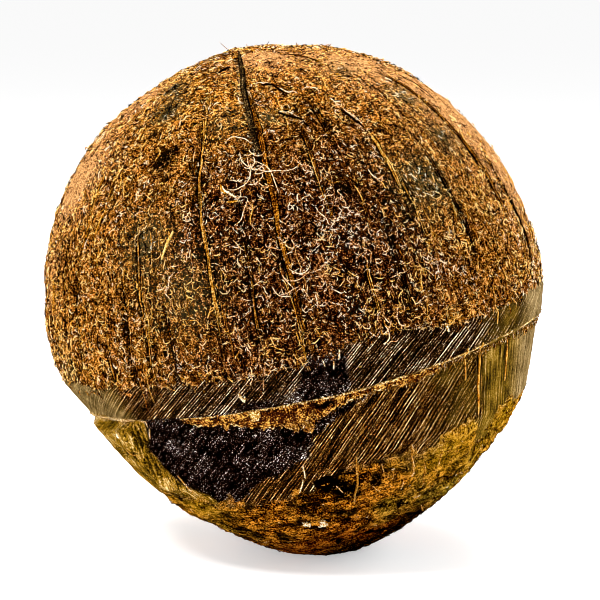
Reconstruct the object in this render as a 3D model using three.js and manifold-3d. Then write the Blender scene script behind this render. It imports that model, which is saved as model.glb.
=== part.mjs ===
// A coconut whose husk has been shaved round its lower half, standing on a small flat spot.
// Millimetres, +Z up, +X to the right, -Y to the front. The origin is the middle of the box's base.
//
// The nut is one natural piece, so it is one mesh. Its surface is a distance from the nut's middle,
// given for each direction in the nut's own frame: "down" is the angle from the stem end, and
// "around" is the angle about the nut's axis, 0 to the right and 270 to the front.
import * as THREE from "three";
import { mergeVertices } from "three/addons/utils/BufferGeometryUtils.js";
import Module from "manifold-3d";

// Overall size and stance.
const nutRadius = 57.5; // from the middle to the husk, before the lobes and swells
const leanLeft = 12.7; // degrees that the stem end leans to the left
const leanBack = 1.5; // degrees that the stem end leans to the back
const restDepth = 57.6; // from the middle down to the flat spot

// A coconut grows in three lobes, faint here.
const lobeCount = 3;
const lobeHeight = 0.4;
const lobeAround = 276;

// Broad swells and hollows of the husk: where they are in degrees, how wide, and how high in mm.
const swells = [
  { around: 180, down: 119, width: 22, height: -6.0 }, // hollow under the band on the left
  { around: 182, down: 150, width: 22, height: -2.8 },
  { around: 0, down: 143, width: 20, height: -2.4 }, // hollow low on the right
  { around: 270, down: 136, width: 22, height: -0.9 },
  { around: 180, down: 38, width: 28, height: 1.4 }, // shoulders beside the stem end
  { around: 0, down: 25, width: 26, height: 1.3 },
  { around: 185, down: 172, width: 17, height: 3.1 }, // heel that the nut stands on
  { around: 90, down: 150, width: 25, height: 0.8 },
  { around: 182, down: 94, width: 12, height: 0.9 }, // end of the coat on the left
];

// The shaved band. A ledge runs round the nut; above it a bevel rises to the husk, and below it a
// second cut, set in a little further, runs down to the husk. Heights are along the nut's axis.
const ledge = { height: -15.4, radius: 53.2, rightward: 1.6 };
const bevel = { rise: 6.9, rightward: -1.1 };
const bevelPatch = { around: 286, width: 13, rise: 3.8 }; // the bevel reaches higher near the front
const lip = { depth: 1.5, rightward: -0.6, drop: 0.6 }; // how far the ledge juts out, and its thickness
const lowerCut = { fall: 15.6, rightward: -1.2 };
const lowerCutPatch = { around: 250, width: 20, fall: 1.2 };
const uncut = { from: 147, to: 216, fade: 4, clearance: 4 }; // the lower cut leaves this stretch alone

// How finely the surface is divided.
const columns = 76;
const rowsPerStretch = [24, 4, 1, 6, 13]; // dome, bevel, ledge's lip, lower cut, underside

const colour = 0x7a4f24;

const radians = THREE.MathUtils.degToRad;
const degrees = THREE.MathUtils.radToDeg;

// Signed difference of two angles about the axis, in degrees, from -180 to 180.
function turn(around, from) {
  return THREE.MathUtils.euclideanModulo(degrees(around) - from + 180, 360) - 180;
}

function hump(around, { around: at, width }) {
  return Math.exp(-((turn(around, at) / width) ** 2));
}

// The natural husk: a ball with faint lobes, and a bell-shaped swell or hollow at each place listed.
function huskRadius(around, down) {
  let radius =
    nutRadius + lobeHeight * Math.sin(down) ** 2 * Math.cos(lobeCount * (around - radians(lobeAround)));
  for (const swell of swells) {
    const cosine =
      Math.cos(down) * Math.cos(radians(swell.down)) +
      Math.sin(down) * Math.sin(radians(swell.down)) * Math.cos(around - radians(swell.around));
    const away = degrees(Math.acos(THREE.MathUtils.clamp(cosine, -1, 1)));
    radius += swell.height * Math.exp(-((away / swell.width) ** 2));
  }
  return radius;
}

// The husk's ring at a height on the axis, found by closing in on the direction that meets it.
function huskRing(around, height) {
  let radius = nutRadius;
  for (let pass = 0; pass < 4; pass++)
    radius = huskRadius(around, Math.acos(THREE.MathUtils.clamp(height / radius, -1, 1)));
  return { out: Math.sqrt(radius ** 2 - height ** 2), height };
}

const downOf = (ring) => Math.atan2(ring.out, ring.height);

// The four rings that bound the band's three cuts, as distance out from the axis and height on it.
function bandRings(around) {
  const right = Math.cos(around);
  const top = ledge.height + bevel.rise + bevel.rightward * right + bevelPatch.rise * hump(around, bevelPatch);
  const fall = lowerCut.fall + lowerCut.rightward * right + lowerCutPatch.fall * hump(around, lowerCutPatch);
  const out = ledge.radius + ledge.rightward * right;
  return [
    huskRing(around, top),
    { out, height: ledge.height },
    { out: out - lip.depth - lip.rightward * right, height: ledge.height - lip.drop },
    huskRing(around, ledge.height - fall),
  ];
}

// Distance from the middle to the cone through two rings, in the direction given.
function coneRadius(down, upper, lower) {
  const slope = (upper.out - lower.out) / (upper.height - lower.height);
  return (upper.out - slope * upper.height) / (Math.sin(down) - slope * Math.cos(down));
}

// 1 where the lower cut leaves the husk alone, easing to 0 at both ends of that stretch.
function uncutShare(around) {
  const angle = THREE.MathUtils.euclideanModulo(degrees(around), 360);
  return (
    THREE.MathUtils.smoothstep(angle, uncut.from - uncut.fade, uncut.from) *
    (1 - THREE.MathUtils.smoothstep(angle, uncut.to, uncut.to + uncut.fade))
  );
}

// The finished surface: the husk, cut back by whichever cone of the band faces this direction.
function nutSurface(around, down, rings) {
  const husk = huskRadius(around, down);
  const [top, edge, foot, end] = rings;
  if (down <= downOf(top) || down >= downOf(end)) return husk;
  if (down <= downOf(edge)) return Math.min(husk, coneRadius(down, top, edge));
  if (down <= downOf(foot)) return Math.min(husk, coneRadius(down, edge, foot));
  return Math.min(husk, coneRadius(down, foot, end) + uncut.clearance * uncutShare(around));
}

// A closed skin: one point at each end of the axis and rows between them, which follow the rings.
function nutGeometry() {
  const rows = rowsPerStretch.reduce((sum, count) => sum + count, 0) - 1;
  const points = [0, 0, huskRadius(0, 0)];
  for (let column = 0; column < columns; column++) {
    const around = (2 * Math.PI * column) / columns;
    const rings = bandRings(around);
    const stops = [0, ...rings.map(downOf), Math.PI];
    rowsPerStretch.forEach((count, stretch) => {
      for (let row = 1; row <= count; row++) {
        const down = THREE.MathUtils.lerp(stops[stretch], stops[stretch + 1], row / count);
        if (down > Math.PI - 1e-6) continue; // the far end is a single point, added below
        const radius = nutSurface(around, down, rings);
        points.push(
          radius * Math.sin(down) * Math.cos(around),
          radius * Math.sin(down) * Math.sin(around),
          radius * Math.cos(down),
        );
      }
    });
  }
  points.push(0, 0, -huskRadius(0, Math.PI));
  const last = points.length / 3 - 1;
  const at = (column, row) => 1 + (column % columns) * rows + row;
  const faces = [];
  for (let column = 0; column < columns; column++) {
    faces.push(0, at(column, 0), at(column + 1, 0));
    for (let row = 0; row < rows - 1; row++) {
      faces.push(at(column, row), at(column, row + 1), at(column + 1, row + 1));
      faces.push(at(column, row), at(column + 1, row + 1), at(column + 1, row));
    }
    faces.push(at(column, rows - 1), last, at(column + 1, rows - 1));
  }
  const geometry = new THREE.BufferGeometry();
  geometry.setAttribute("position", new THREE.Float32BufferAttribute(points, 3));
  geometry.setIndex(faces);
  return geometry;
}

const wasm = await Module();
wasm.setup();

function toSolid(geometry) {
  const bare = geometry.clone();
  bare.deleteAttribute("normal");
  bare.deleteAttribute("uv");
  const merged = mergeVertices(bare, 1e-4);
  return new wasm.Manifold(
    new wasm.Mesh({
      numProp: 3,
      vertProperties: new Float32Array(merged.attributes.position.array),
      triVerts: new Uint32Array(merged.index.array),
    }),
  );
}

function toGeometry(solid) {
  const mesh = solid.getMesh();
  const geometry = new THREE.BufferGeometry();
  geometry.setAttribute("position", new THREE.BufferAttribute(mesh.vertProperties, mesh.numProp));
  geometry.setIndex(new THREE.BufferAttribute(mesh.triVerts, 1));
  return geometry;
}

// The nut leans, then everything under the level of the flat spot is cut away.
function standingNut() {
  const leaned = nutGeometry();
  leaned.rotateY(-radians(leanLeft));
  leaned.rotateX(-radians(leanBack));
  const blockSize = 4 * nutRadius;
  const ground = new THREE.BoxGeometry(blockSize, blockSize, blockSize);
  ground.translate(0, 0, -restDepth - blockSize / 2);
  const standing = toGeometry(toSolid(leaned).subtract(toSolid(ground)));
  standing.computeBoundingBox();
  const box = standing.boundingBox;
  standing.translate(-(box.min.x + box.max.x) / 2, -(box.min.y + box.max.y) / 2, -box.min.z);
  standing.computeVertexNormals();
  return standing;
}

const husk = new THREE.MeshStandardMaterial({ color: colour, roughness: 0.95, metalness: 0 });
const coconut = new THREE.Mesh(standingNut(), husk);
coconut.name = "coconut";

const part = new THREE.Group();
part.name = "husked_coconut";
part.add(coconut);

export default part;
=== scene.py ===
import math
import bpy
import numpy as np
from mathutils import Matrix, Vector


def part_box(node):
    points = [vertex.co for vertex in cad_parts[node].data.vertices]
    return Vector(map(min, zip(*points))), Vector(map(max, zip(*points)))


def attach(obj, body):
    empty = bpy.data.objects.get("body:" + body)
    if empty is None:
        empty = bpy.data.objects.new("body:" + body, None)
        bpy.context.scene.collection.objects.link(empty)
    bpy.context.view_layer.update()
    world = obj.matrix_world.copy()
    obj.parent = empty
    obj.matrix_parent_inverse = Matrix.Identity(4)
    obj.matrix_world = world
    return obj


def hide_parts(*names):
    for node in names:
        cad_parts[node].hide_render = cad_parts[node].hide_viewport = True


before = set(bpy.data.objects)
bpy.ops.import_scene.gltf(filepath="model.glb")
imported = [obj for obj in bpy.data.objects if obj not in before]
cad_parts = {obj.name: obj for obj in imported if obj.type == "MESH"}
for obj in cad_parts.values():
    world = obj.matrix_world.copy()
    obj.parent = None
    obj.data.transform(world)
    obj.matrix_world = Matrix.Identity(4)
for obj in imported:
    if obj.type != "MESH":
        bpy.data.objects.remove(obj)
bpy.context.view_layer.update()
print("Stage 1: the frame is read")


# Rows of a table as dictionaries: its columns' names, then each row's values. A row may stop early.
def table(names, *rows):
    return [dict(zip(names.split(), row)) for row in rows]


# Shapes are worked out in millimetres about the nut's middle. "down" is the angle from the stem end
# and "around" the angle about the nut's axis, 0 to the right and 270 to the front.
nut = dict(radius=57.5, leanLeft=12.7, leanBack=1.5, restDepth=57.6,
           lobes=3, lobeHeight=0.4, lobeAround=276)
swells = table("around down width height",
               (180, 119, 22, -6.0), (182, 150, 22, -2.8), (0, 143, 20, -2.4), (270, 136, 22, -0.9),
               (180, 38, 28, 1.4), (0, 25, 26, 1.3), (185, 172, 17, 3.1), (90, 150, 25, 0.8),
               (182, 94, 12, 0.9))
band = dict(ledgeHeight=-15.4, ledgeRadius=53.2, ledgeRightward=1.6,
            bevelRise=6.9, bevelRightward=-1.1, patchAround=286, patchWidth=13, patchRise=3.8,
            lipDepth=1.5, lipRightward=-0.6, lipDrop=0.6,
            cutFall=15.6, cutRightward=-1.2, cutPatchAround=250, cutPatchWidth=20, cutPatchFall=1.2,
            uncutFrom=147, uncutTo=216, uncutFade=4, clearance=4)
# The blade didn't run quite level: where it rose, over how many degrees about the axis, and by how many mm.
wavers = table("around width rise",
               (335, 38, 1.6), (202, 22, 1.8), (283, 24, -0.6), (234, 14, 0.5), (85, 30, 0.8))
mm = 0.001
fullTurn = 2 * np.pi
arcLength = 57  # mm along the husk for a radian, for the patterns laid on it


# Signed difference of two angles about the axis, in degrees, from -180 to 180.
def turn(around, start):
    return (np.degrees(around) - start + 180) % 360 - 180


# Bell curve of one number, 1 at its middle.
def bell(x, width):
    return np.exp(-(x / width) ** 2)


# Eased step from 0 below low to 1 above high.
def ease(x, low, high):
    t = np.clip((x - low) / (high - low), 0, 1)
    return t * t * (3 - 2 * t)


# Angle in degrees between directions and one fixed direction of the nut.
def away(around, down, atAround, atDown):
    a, d = math.radians(atAround), math.radians(atDown)
    cosine = np.cos(down) * math.cos(d) + np.sin(down) * math.sin(d) * np.cos(around - a)
    return np.degrees(np.arccos(np.clip(cosine, -1, 1)))


lattice = dict(count=4096, seed=7, primes=np.array([73856093, 19349663, 83492791]), seedStep=2654435,
               seedShift=17.31)
latticeValues = np.random.default_rng(lattice["seed"]).uniform(-1, 1, lattice["count"])


# Smooth noise from -1 to 1: the eight lattice values round a point, blended by eased fractions.
def noise(points, size, seed=0):
    p = points / size + seed * lattice["seedShift"]
    cell = np.floor(p).astype(np.int64)
    f = p - cell
    f = f * f * f * (f * (f * 6 - 15) + 10)
    total = 0
    for corner in range(8):
        bit = np.array([corner & 1, corner >> 1 & 1, corner >> 2 & 1])
        key = (cell + bit) * lattice["primes"]
        key = (key[..., 0] ^ key[..., 1] ^ key[..., 2] ^ seed * lattice["seedStep"]) & lattice["count"] - 1
        total = total + latticeValues[key] * np.prod(np.where(bit, f, 1 - f), axis=-1)
    return total


# Noise summed over octaves, each half the size of the one before it.
def roughness(points, size, octaves, seed=0, fall=0.55):
    return sum(fall ** k * noise(points, size / 2 ** k, seed + k) for k in range(octaves))


# The natural husk: a ball with faint lobes and a bell-shaped swell or hollow at each place listed.
def huskRadius(around, down):
    r = nut["radius"] + nut["lobeHeight"] * np.sin(down) ** 2 * np.cos(
        nut["lobes"] * (around - math.radians(nut["lobeAround"])))
    for s in swells:
        r = r + s["height"] * bell(away(around, down, s["around"], s["down"]), s["width"])
    return r


# The husk's ring at a height on the axis: the direction that meets it is closed in on.
def huskRing(around, height):
    r = np.full_like(around, nut["radius"])
    for _ in range(4):
        r = huskRadius(around, np.arccos(np.clip(height / r, -1, 1)))
    return np.sqrt(r ** 2 - height ** 2), height


# Height of the ledge on the axis: level, plus a bell for each place where the blade rose.
def ledgeLevel(around):
    return band["ledgeHeight"] + sum(
        w["rise"] * bell(turn(around, w["around"]), w["width"]) for w in wavers)


# The rings that bound the bevel, the ledge's lip and the lower cut, as (out, height) pairs.
def bandRings(around):
    right = np.cos(around)
    out = band["ledgeRadius"] + band["ledgeRightward"] * right
    level = ledgeLevel(around)
    top = level + band["bevelRise"] + band["bevelRightward"] * right \
        + band["patchRise"] * bell(turn(around, band["patchAround"]), band["patchWidth"])
    fall = band["cutFall"] + band["cutRightward"] * right \
        + band["cutPatchFall"] * bell(turn(around, band["cutPatchAround"]), band["cutPatchWidth"])
    foot = (out - band["lipDepth"] - band["lipRightward"] * right, level - band["lipDrop"])
    return huskRing(around, top), (out, level), foot, huskRing(around, band["ledgeHeight"] - fall)


# Angle from the stem end of a ring's points: the arctangent of their distance out over their height.
def downOf(ring):
    return np.arctan2(ring[0], ring[1])


# Distance from the middle to the cone through two rings, in the direction given.
def coneRadius(down, upper, lower):
    slope = (upper[0] - lower[0]) / (upper[1] - lower[1])
    return (upper[0] - slope * upper[1]) / (np.sin(down) - slope * np.cos(down))


# 1 where the lower cut leaves the husk alone, easing to 0 at both ends of that stretch.
def uncutShare(around):
    angle = np.degrees(around) % 360
    return ease(angle, band["uncutFrom"] - band["uncutFade"], band["uncutFrom"]) \
        * (1 - ease(angle, band["uncutTo"], band["uncutTo"] + band["uncutFade"]))


# The surface of the solid: the husk, cut back by whichever cone of the band faces the direction.
def nutSurface(around, down):
    top, edge, foot, end = bandRings(around)
    husk = huskRadius(around, down)
    bevel = np.minimum(husk, coneRadius(down, top, edge))
    lip = np.minimum(husk, coneRadius(down, edge, foot))
    cut = np.minimum(husk, coneRadius(down, foot, end) + band["clearance"] * uncutShare(around))
    return np.select([down <= downOf(top), down <= downOf(edge), down <= downOf(foot), down < downOf(end)],
                     [husk, bevel, lip, cut], husk)


# Unit directions in the nut's own frame: sine of down times cosine and sine of around, and cosine of down.
def directions(around, down):
    return np.stack([np.sin(down) * np.cos(around), np.sin(down) * np.sin(around), np.cos(down)], -1)


# The lean turns the nut to the left, then to the back.
leanLeft, leanBack = math.radians(nut["leanLeft"]), math.radians(nut["leanBack"])
leanMatrix = np.array([[1, 0, 0],
                       [0, math.cos(leanBack), math.sin(leanBack)],
                       [0, -math.sin(leanBack), math.cos(leanBack)]]) @ \
    np.array([[math.cos(leanLeft), 0, -math.sin(leanLeft)],
              [0, 1, 0],
              [math.sin(leanLeft), 0, math.cos(leanLeft)]])


# Leans points of the nut's own frame, and keeps them on or over the level of the flat spot.
def stand(points):
    p = points @ leanMatrix.T
    p[..., 2] = np.maximum(p[..., 2], -nut["restDepth"])
    return p


# The nut's middle in the part's frame: the CAD box's middle, less the middle of the formula's own box.
def findMiddle():
    down, around = np.meshgrid(np.linspace(0.01, 3.13, 300), np.linspace(0, fullTurn, 600), indexing="ij")
    p = stand(directions(around, down) * nutSurface(around, down)[..., None]).reshape(-1, 3)
    low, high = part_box("coconut")
    ownMiddle = (p.min(0) + p.max(0)) / 2
    return np.array([(low.x + high.x) / 2 / mm - ownMiddle[0],
                     (low.y + high.y) / 2 / mm - ownMiddle[1],
                     low.z / mm + nut["restDepth"]])


middle = findMiddle()
print("Stage 2: the nut's middle in mm is", middle.round(2))


# A mesh from arrays: quads first, then triangles, with named UV maps per corner and values per vertex.
def makePiece(name, points, quads, triangles, material, uvMaps, values):
    mesh = bpy.data.meshes.new(name)
    world = (points + middle) * mm
    mesh.vertices.add(len(world))
    mesh.vertices.foreach_set("co", world.astype(np.float32).ravel())
    corners = np.concatenate([quads.ravel(), triangles.ravel()]).astype(np.int32)
    sizes = np.concatenate([np.full(len(quads), 4), np.full(len(triangles), 3)]).astype(np.int32)
    starts = np.concatenate([[0], np.cumsum(sizes)[:-1]]).astype(np.int32)
    mesh.loops.add(len(corners))
    mesh.loops.foreach_set("vertex_index", corners)
    mesh.polygons.add(len(sizes))
    mesh.polygons.foreach_set("loop_start", starts)
    mesh.polygons.foreach_set("loop_total", sizes)
    mesh.polygons.foreach_set("use_smooth", np.ones(len(sizes), bool))
    for key, uv in uvMaps.items():
        layer = mesh.uv_layers.new(name=key)
        layer.data.foreach_set("uv", uv.astype(np.float32).ravel())
    for key, value in values.items():
        vector = value.ndim == 2
        layer = mesh.attributes.new(key, "FLOAT_VECTOR" if vector else "FLOAT", "POINT")
        layer.data.foreach_set("vector" if vector else "value", value.astype(np.float32).ravel())
    mesh.update()
    mesh.validate()
    piece = bpy.data.objects.new(name, mesh)
    bpy.context.collection.objects.link(piece)
    mesh.materials.append(material)
    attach(piece, "root")
    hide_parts("coconut")
    print("  made", name, "with triangles:", 2 * len(quads) + len(triangles))
    return piece


# Quads of a grid whose last column meets its first, and fans to one point above and one below.
def wrapFaces(rows, columns):
    r, c = np.meshgrid(np.arange(rows - 1), np.arange(columns), indexing="ij")
    n = (c + 1) % columns
    quads = np.stack([r * columns + c, (r + 1) * columns + c, (r + 1) * columns + n, r * columns + n], -1)
    c = np.arange(columns)
    n = (c + 1) % columns
    topPoint, bottomPoint = rows * columns, rows * columns + 1
    topFan = np.stack([np.full(columns, topPoint), c, n], -1)
    low = (rows - 1) * columns
    bottomFan = np.stack([low + n, low + c, np.full(columns, bottomPoint)], -1)
    return quads.reshape(-1, 4), np.concatenate([topFan, bottomFan])


# A closed solid of the nut's own shape: grid rows of (around, down, radius), and its two end points.
def wrapSolid(name, around, down, radius, topHeight, bottomHeight, material, layout, values):
    rows, columns = around.shape
    points = directions(around, down) * radius[..., None]
    points = np.concatenate([points.reshape(-1, 3), [[0, 0, topHeight]], [[0, 0, bottomHeight]]])
    quads, fans = wrapFaces(rows, columns)
    ends = {key: np.concatenate([v.reshape(rows * columns, *v.shape[2:]), v[:1].mean(1), v[-1:].mean(1)])
            for key, v in values.items()}
    r, c = np.divmod(quads, columns)
    c = np.where((c == 0) & (c[:, :1] == columns - 1), columns, c)
    fanRow = np.repeat([0, rows - 1], columns)[:, None].repeat(3, 1)
    fanColumn = np.tile(np.arange(columns)[:, None], (2, 3))
    uv = np.concatenate([layout(r, c, rows, columns).reshape(-1, 2),
                         layout(fanRow, fanColumn, rows, columns).reshape(-1, 2)])
    return makePiece(name, stand(points), quads, fans, material, {"OFBake": uv}, ends)


# One shader node, with its settings and the sockets that take a value or another node's output.
def addNode(tree, kind, settings=None, **inputs):
    node = tree.nodes.new("ShaderNode" + kind)
    for key, value in (settings or {}).items():
        setattr(node, key, value)
    for key, value in inputs.items():
        name = key.replace("_", " ")
        socket = node.inputs[int(key[1:])] if key[1:].isdigit() else node.inputs[name]
        if isinstance(value, bpy.types.NodeSocket):
            tree.links.new(value, socket)
        else:
            socket.default_value = value
    return node


# A material with one surface shader, whose roughness is the same all over and which has no gloss.
def newMaterial(name, roughness):
    material = bpy.data.materials.new(name)
    material.use_nodes = True
    tree = material.node_tree
    shader = tree.nodes["Principled BSDF"]
    shader.inputs["Roughness"].default_value = roughness
    shader.inputs["Specular IOR Level"].default_value = 0.0
    return material, tree, shader


# Linear colour of a hex one: each pair's share of 255, taken off the screen's curve.
def hexColour(text):
    srgb = [int(text[k:k + 2], 16) / 255 for k in (0, 2, 4)]
    return [c / 12.92 if c <= 0.04045 else ((c + 0.055) / 1.055) ** 2.4 for c in srgb] + [1]


# A colour for each value of the factor: the stops' colours, blended between their places.
def ramp(tree, factor, stops):
    node = addNode(tree, "ValToRGB", Fac=factor)
    while len(node.color_ramp.elements) < len(stops):
        node.color_ramp.elements.new(0.5)
    for element, (place, colour) in zip(node.color_ramp.elements, stops):
        element.position = place
        element.color = hexColour(colour)
    return node.outputs["Color"]


# Two colours mixed by the factor: the first where it is 0, the second, or their named blend, where it is 1.
def mixColour(tree, factor, a, b, blend="MIX"):
    node = addNode(tree, "Mix", dict(data_type="RGBA", blend_type=blend))
    for socket, value in ((node.inputs[0], factor), (node.inputs[6], a), (node.inputs[7], b)):
        if isinstance(value, bpy.types.NodeSocket):
            tree.links.new(value, socket)
        else:
            socket.default_value = hexColour(value) if isinstance(value, str) else value
    return node.outputs[2]


# One sum on two values, each a number or a node's output.
def maths(tree, operation, a, b=0.0):
    return addNode(tree, "Math", dict(operation=operation), i0=a, i1=b).outputs[0]


# The product of two values.
def times(tree, a, b):
    return maths(tree, "MULTIPLY", a, b)


# The sum of two values.
def plus(tree, a, b):
    return maths(tree, "ADD", a, b)


# 0 where the value is at low and 1 where it is at high, eased between them; low may be over high.
def window(tree, value, low, high):
    return addNode(tree, "MapRange", dict(interpolation_type="SMOOTHSTEP"), Value=value,
                   i1=low, i2=high, i3=0.0, i4=1.0).outputs[0]


# A value or vector that the mesh carries at its points, by its name.
def attribute(tree, name, output="Fac"):
    return addNode(tree, "Attribute", dict(attribute_name=name)).outputs[output]


# The place on the object in mm: its own coordinates in metres times a thousand.
def millimetres(tree):
    coordinates = addNode(tree, "TexCoord").outputs["Object"]
    return addNode(tree, "Mapping", Vector=coordinates, Scale=(1000, 1000, 1000)).outputs[0]


# Noise from 0 to 1 whose grains are as far apart as the size says.
def noiseNode(tree, vector, size, detail=2.0, distortion=0.0):
    return addNode(tree, "TexNoise", Vector=vector, Scale=1 / size, Detail=detail,
                   Distortion=distortion).outputs[0]


# Gives the surface its colour, and shades it as if the height, times the distance in metres, stood out.
def dress(tree, shader, colour, height, distance, strength=1.0):
    tree.links.new(colour, shader.inputs["Base Color"])
    node = addNode(tree, "Bump", Height=height, Distance=distance, Strength=strength)
    tree.links.new(node.outputs["Normal"], shader.inputs["Normal"])


# Thin lines where a noise crosses its middle value: 1 where it is one half, 0 the width away from it.
def crossings(tree, value, width):
    return window(tree, maths(tree, "ABSOLUTE", maths(tree, "SUBTRACT", value, 0.5)), width, 0.0)


# Matted coir: crumbs of two grains and streaks along the nut, from black gaps to straw. The shade value,
# partly painted shade and light, turns it from the dark reddish coat of the front to lit tan: its dark and
# light ramps are a shaded and a lit copy. The hue value turns it from red to olive.
coir = dict(fine=0.32, dash=0.7, flat=0.25, streak=0.5, coarse=1.7, hair=1.0, line=0.06,
            dark=[(0.46, "000000"), (0.50, "120401"), (0.535, "3e1807"), (0.575, "7a4414"),
                  (0.63, "b87e30"), (0.69, "eccc94")],
            light=[(0.43, "020000"), (0.465, "301403"), (0.50, "7e480c"), (0.54, "b47012"),
                   (0.585, "dc9828"), (0.64, "fcd074")],
            wornAndSheen=[(0.37, "3c1e0a"), (0.43, "94602e"), (0.5, "bb8750"), (0.58, "cf9f6c")],
            red="7a2a0c", yellow="8f7424", olive="463f22", stain="040200", bump=0.00035)


# One half, plus each value's difference from one half times its share.
def weighted(tree, parts):
    total = 0.5
    for value, share in parts:
        total = plus(tree, total, times(tree, maths(tree, "SUBTRACT", value, 0.5), share))
    return total


# The coat's ground: all its grains summed into one height, whose two ramps, shaded and lit copies, are
# mixed by the shade value, partly painted shade and light.
def coirSkin():
    material, tree, shader = newMaterial("coirSkin", 0.9)
    place = millimetres(tree)
    shade, hue = attribute(tree, "shade"), attribute(tree, "hue")
    fine = noiseNode(tree, place, coir["fine"], detail=0.5, distortion=0.3)
    flattened = addNode(tree, "Mapping", Vector=place,
                        Scale=(1 / coir["dash"], 1 / coir["dash"], 1 / coir["flat"])).outputs[0]
    dashes = noiseNode(tree, flattened, 1.0, detail=1.0, distortion=0.4)
    streaks = noiseNode(tree, attribute(tree, "lengthways", "Vector"), coir["streak"], detail=1.0)
    coarse = noiseNode(tree, place, coir["coarse"], detail=1.0)
    curly = addNode(tree, "Mapping", Vector=place, Location=(7, 3, 5)).outputs[0]
    pale = crossings(tree, noiseNode(tree, place, coir["hair"], detail=1.0, distortion=1.0), coir["line"])
    black = crossings(tree, noiseNode(tree, curly, coir["hair"], detail=1.0, distortion=1.0), coir["line"])
    height = weighted(tree, [(fine, 0.4), (dashes, 0.3), (streaks, 0.28), (coarse, 0.26),
                             (pale, 0.12), (black, -0.12), (attribute(tree, "relief"), 0.1)])
    # Painted shade and light: the dark ramp where the shade value is low, the light ramp where it is high.
    colour = mixColour(tree, window(tree, shade, 0.2, 0.8), ramp(tree, height, coir["dark"]),
                       ramp(tree, height, coir["light"]))
    tone = mixColour(tree, hue, coir["red"], coir["yellow"])
    tinted = mixColour(tree, 1.0, colour, tone, "OVERLAY")
    colour = mixColour(tree, 0.45, colour, tinted)
    # Worn tan, partly a painted sheen where the coat is seen edge-on.
    wornAndSheen = times(tree, attribute(tree, "wornAndSheen"), 0.75)
    colour = mixColour(tree, wornAndSheen, colour, ramp(tree, height, coir["wornAndSheen"]))
    olive = times(tree, attribute(tree, "olive"), window(tree, height, 0.7, 0.56))
    colour = mixColour(tree, times(tree, olive, 0.7), colour, coir["olive"])
    # Stains, with painted shade in the grooves beside the bundles.
    stain = times(tree, attribute(tree, "stain"), window(tree, height, 0.70, 0.58))
    colour = mixColour(tree, stain, colour, coir["stain"])
    dress(tree, shader, colour, height, coir["bump"])
    return material


# Strands: the size and strength of their mottling, and between which hues they turn golden and grey.
strand = dict(roughness=0.85, mottleSize=0.3, mottling=1.8, goldenHues=(0.0, 0.6), greyHues=(0.65, 1.0))
# Their colours by tint, for the coir of the coat and for the ochre husk under it.
coirColours = dict(red=[(0.0, "020000"), (0.2, "340a02"), (0.42, "7c300a"), (0.64, "b86a20"),
                        (0.82, "e2b068"), (1.0, "fdead0")],
                   golden=[(0.0, "030100"), (0.2, "3c1402"), (0.42, "8c4c0a"), (0.64, "c27e18"),
                           (0.86, "e6a830"), (1.0, "fcd480")],
                   grey=[(0.0, "040301"), (0.3, "2c2614"), (0.6, "6a5c38"), (0.8, "a89a70"),
                         (0.95, "f0e8d0")])
ochreColours = dict(red=[(0.0, "060100"), (0.22, "3c1802"), (0.42, "824a06"), (0.62, "b47a16"),
                         (0.84, "e6c070"), (0.97, "fff8ec")],
                    golden=[(0.0, "080200"), (0.22, "441c02"), (0.42, "8a4e06"), (0.62, "b87a14"),
                            (0.84, "e6bc64"), (0.97, "fff4dc")],
                    grey=[(0.0, "0a0500"), (0.3, "40300c"), (0.6, "85692a"), (0.85, "c8b070"),
                          (0.97, "f4ecd8")])


# Fibres, from dark to pale by each one's own tint plus noise. The hue value turns them from red-brown
# through golden to grey-olive.
def strandMaterial(name, red, golden, grey):
    material, tree, shader = newMaterial(name, strand["roughness"])
    mottle = noiseNode(tree, millimetres(tree), strand["mottleSize"], detail=0.5)
    mottling = times(tree, maths(tree, "SUBTRACT", mottle, 0.5), strand["mottling"])
    tint = plus(tree, attribute(tree, "tint"), mottling)
    hue = attribute(tree, "hue")
    colour = mixColour(tree, window(tree, hue, *strand["goldenHues"]), ramp(tree, tint, red),
                       ramp(tree, tint, golden))
    colour = mixColour(tree, window(tree, hue, *strand["greyHues"]), colour, ramp(tree, tint, grey))
    tree.links.new(colour, shader.inputs["Base Color"])
    return material


# The shaved band: fine scratches along the blade's way, over husk from near black to olive tan, with olive
# and pale stretches at the sides that are partly painted sheen, black places with light grains in them, the
# peeling uncut stretch, and fresh ochre along the ledge, partly a painted highlight on its lit edge.
shaved = dict(gap=0.73, waver=2.2, fine=0.5, scratch=0.36, line=0.045, coarse=0.9, crumb=0.28, patch=4.0,
              gate=1.6, gateRange=(0.36, 0.62), dash=0.8, dashRange=(0.42, 0.58), spark=0.22, speck=0.3,
              strip=0.4, mottle=0.36, bump=0.0001, bumpStrength=0.8,
              dark=[(0.425, "000000"), (0.475, "140802"), (0.515, "382010"), (0.56, "7a5434"),
                    (0.605, "d8b48c"), (0.66, "fff6e8")],
              brown=[(0.34, "000000"), (0.40, "1a0a02"), (0.46, "482609"), (0.52, "7e4e18"),
                     (0.60, "bc8a3a"), (0.68, "ffe8b8")],
              olive=[(0.33, "120c02"), (0.425, "3a2a08"), (0.505, "5e460e"), (0.585, "826420"),
                     (0.68, "b8985a")],
              pale=[(0.34, "3a2c14"), (0.43, "64502e"), (0.51, "826c46"), (0.62, "ac9874")],
              peel=[(0.37, "100801"), (0.44, "3e2a04"), (0.50, "6c4e08"), (0.57, "90680e"),
                    (0.64, "bc8c2c"), (0.71, "f4dca0")],
              ochre=[(0.41, "0c0500"), (0.465, "6c4008"), (0.52, "b07818"), (0.565, "dcac44"),
                     (0.63, "fff0c4")],
              tar=[(0.56, "000000"), (0.62, "220d06"), (0.66, "643c2c"), (0.69, "dccabc"),
                   (0.715, "ffffff")])


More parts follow.
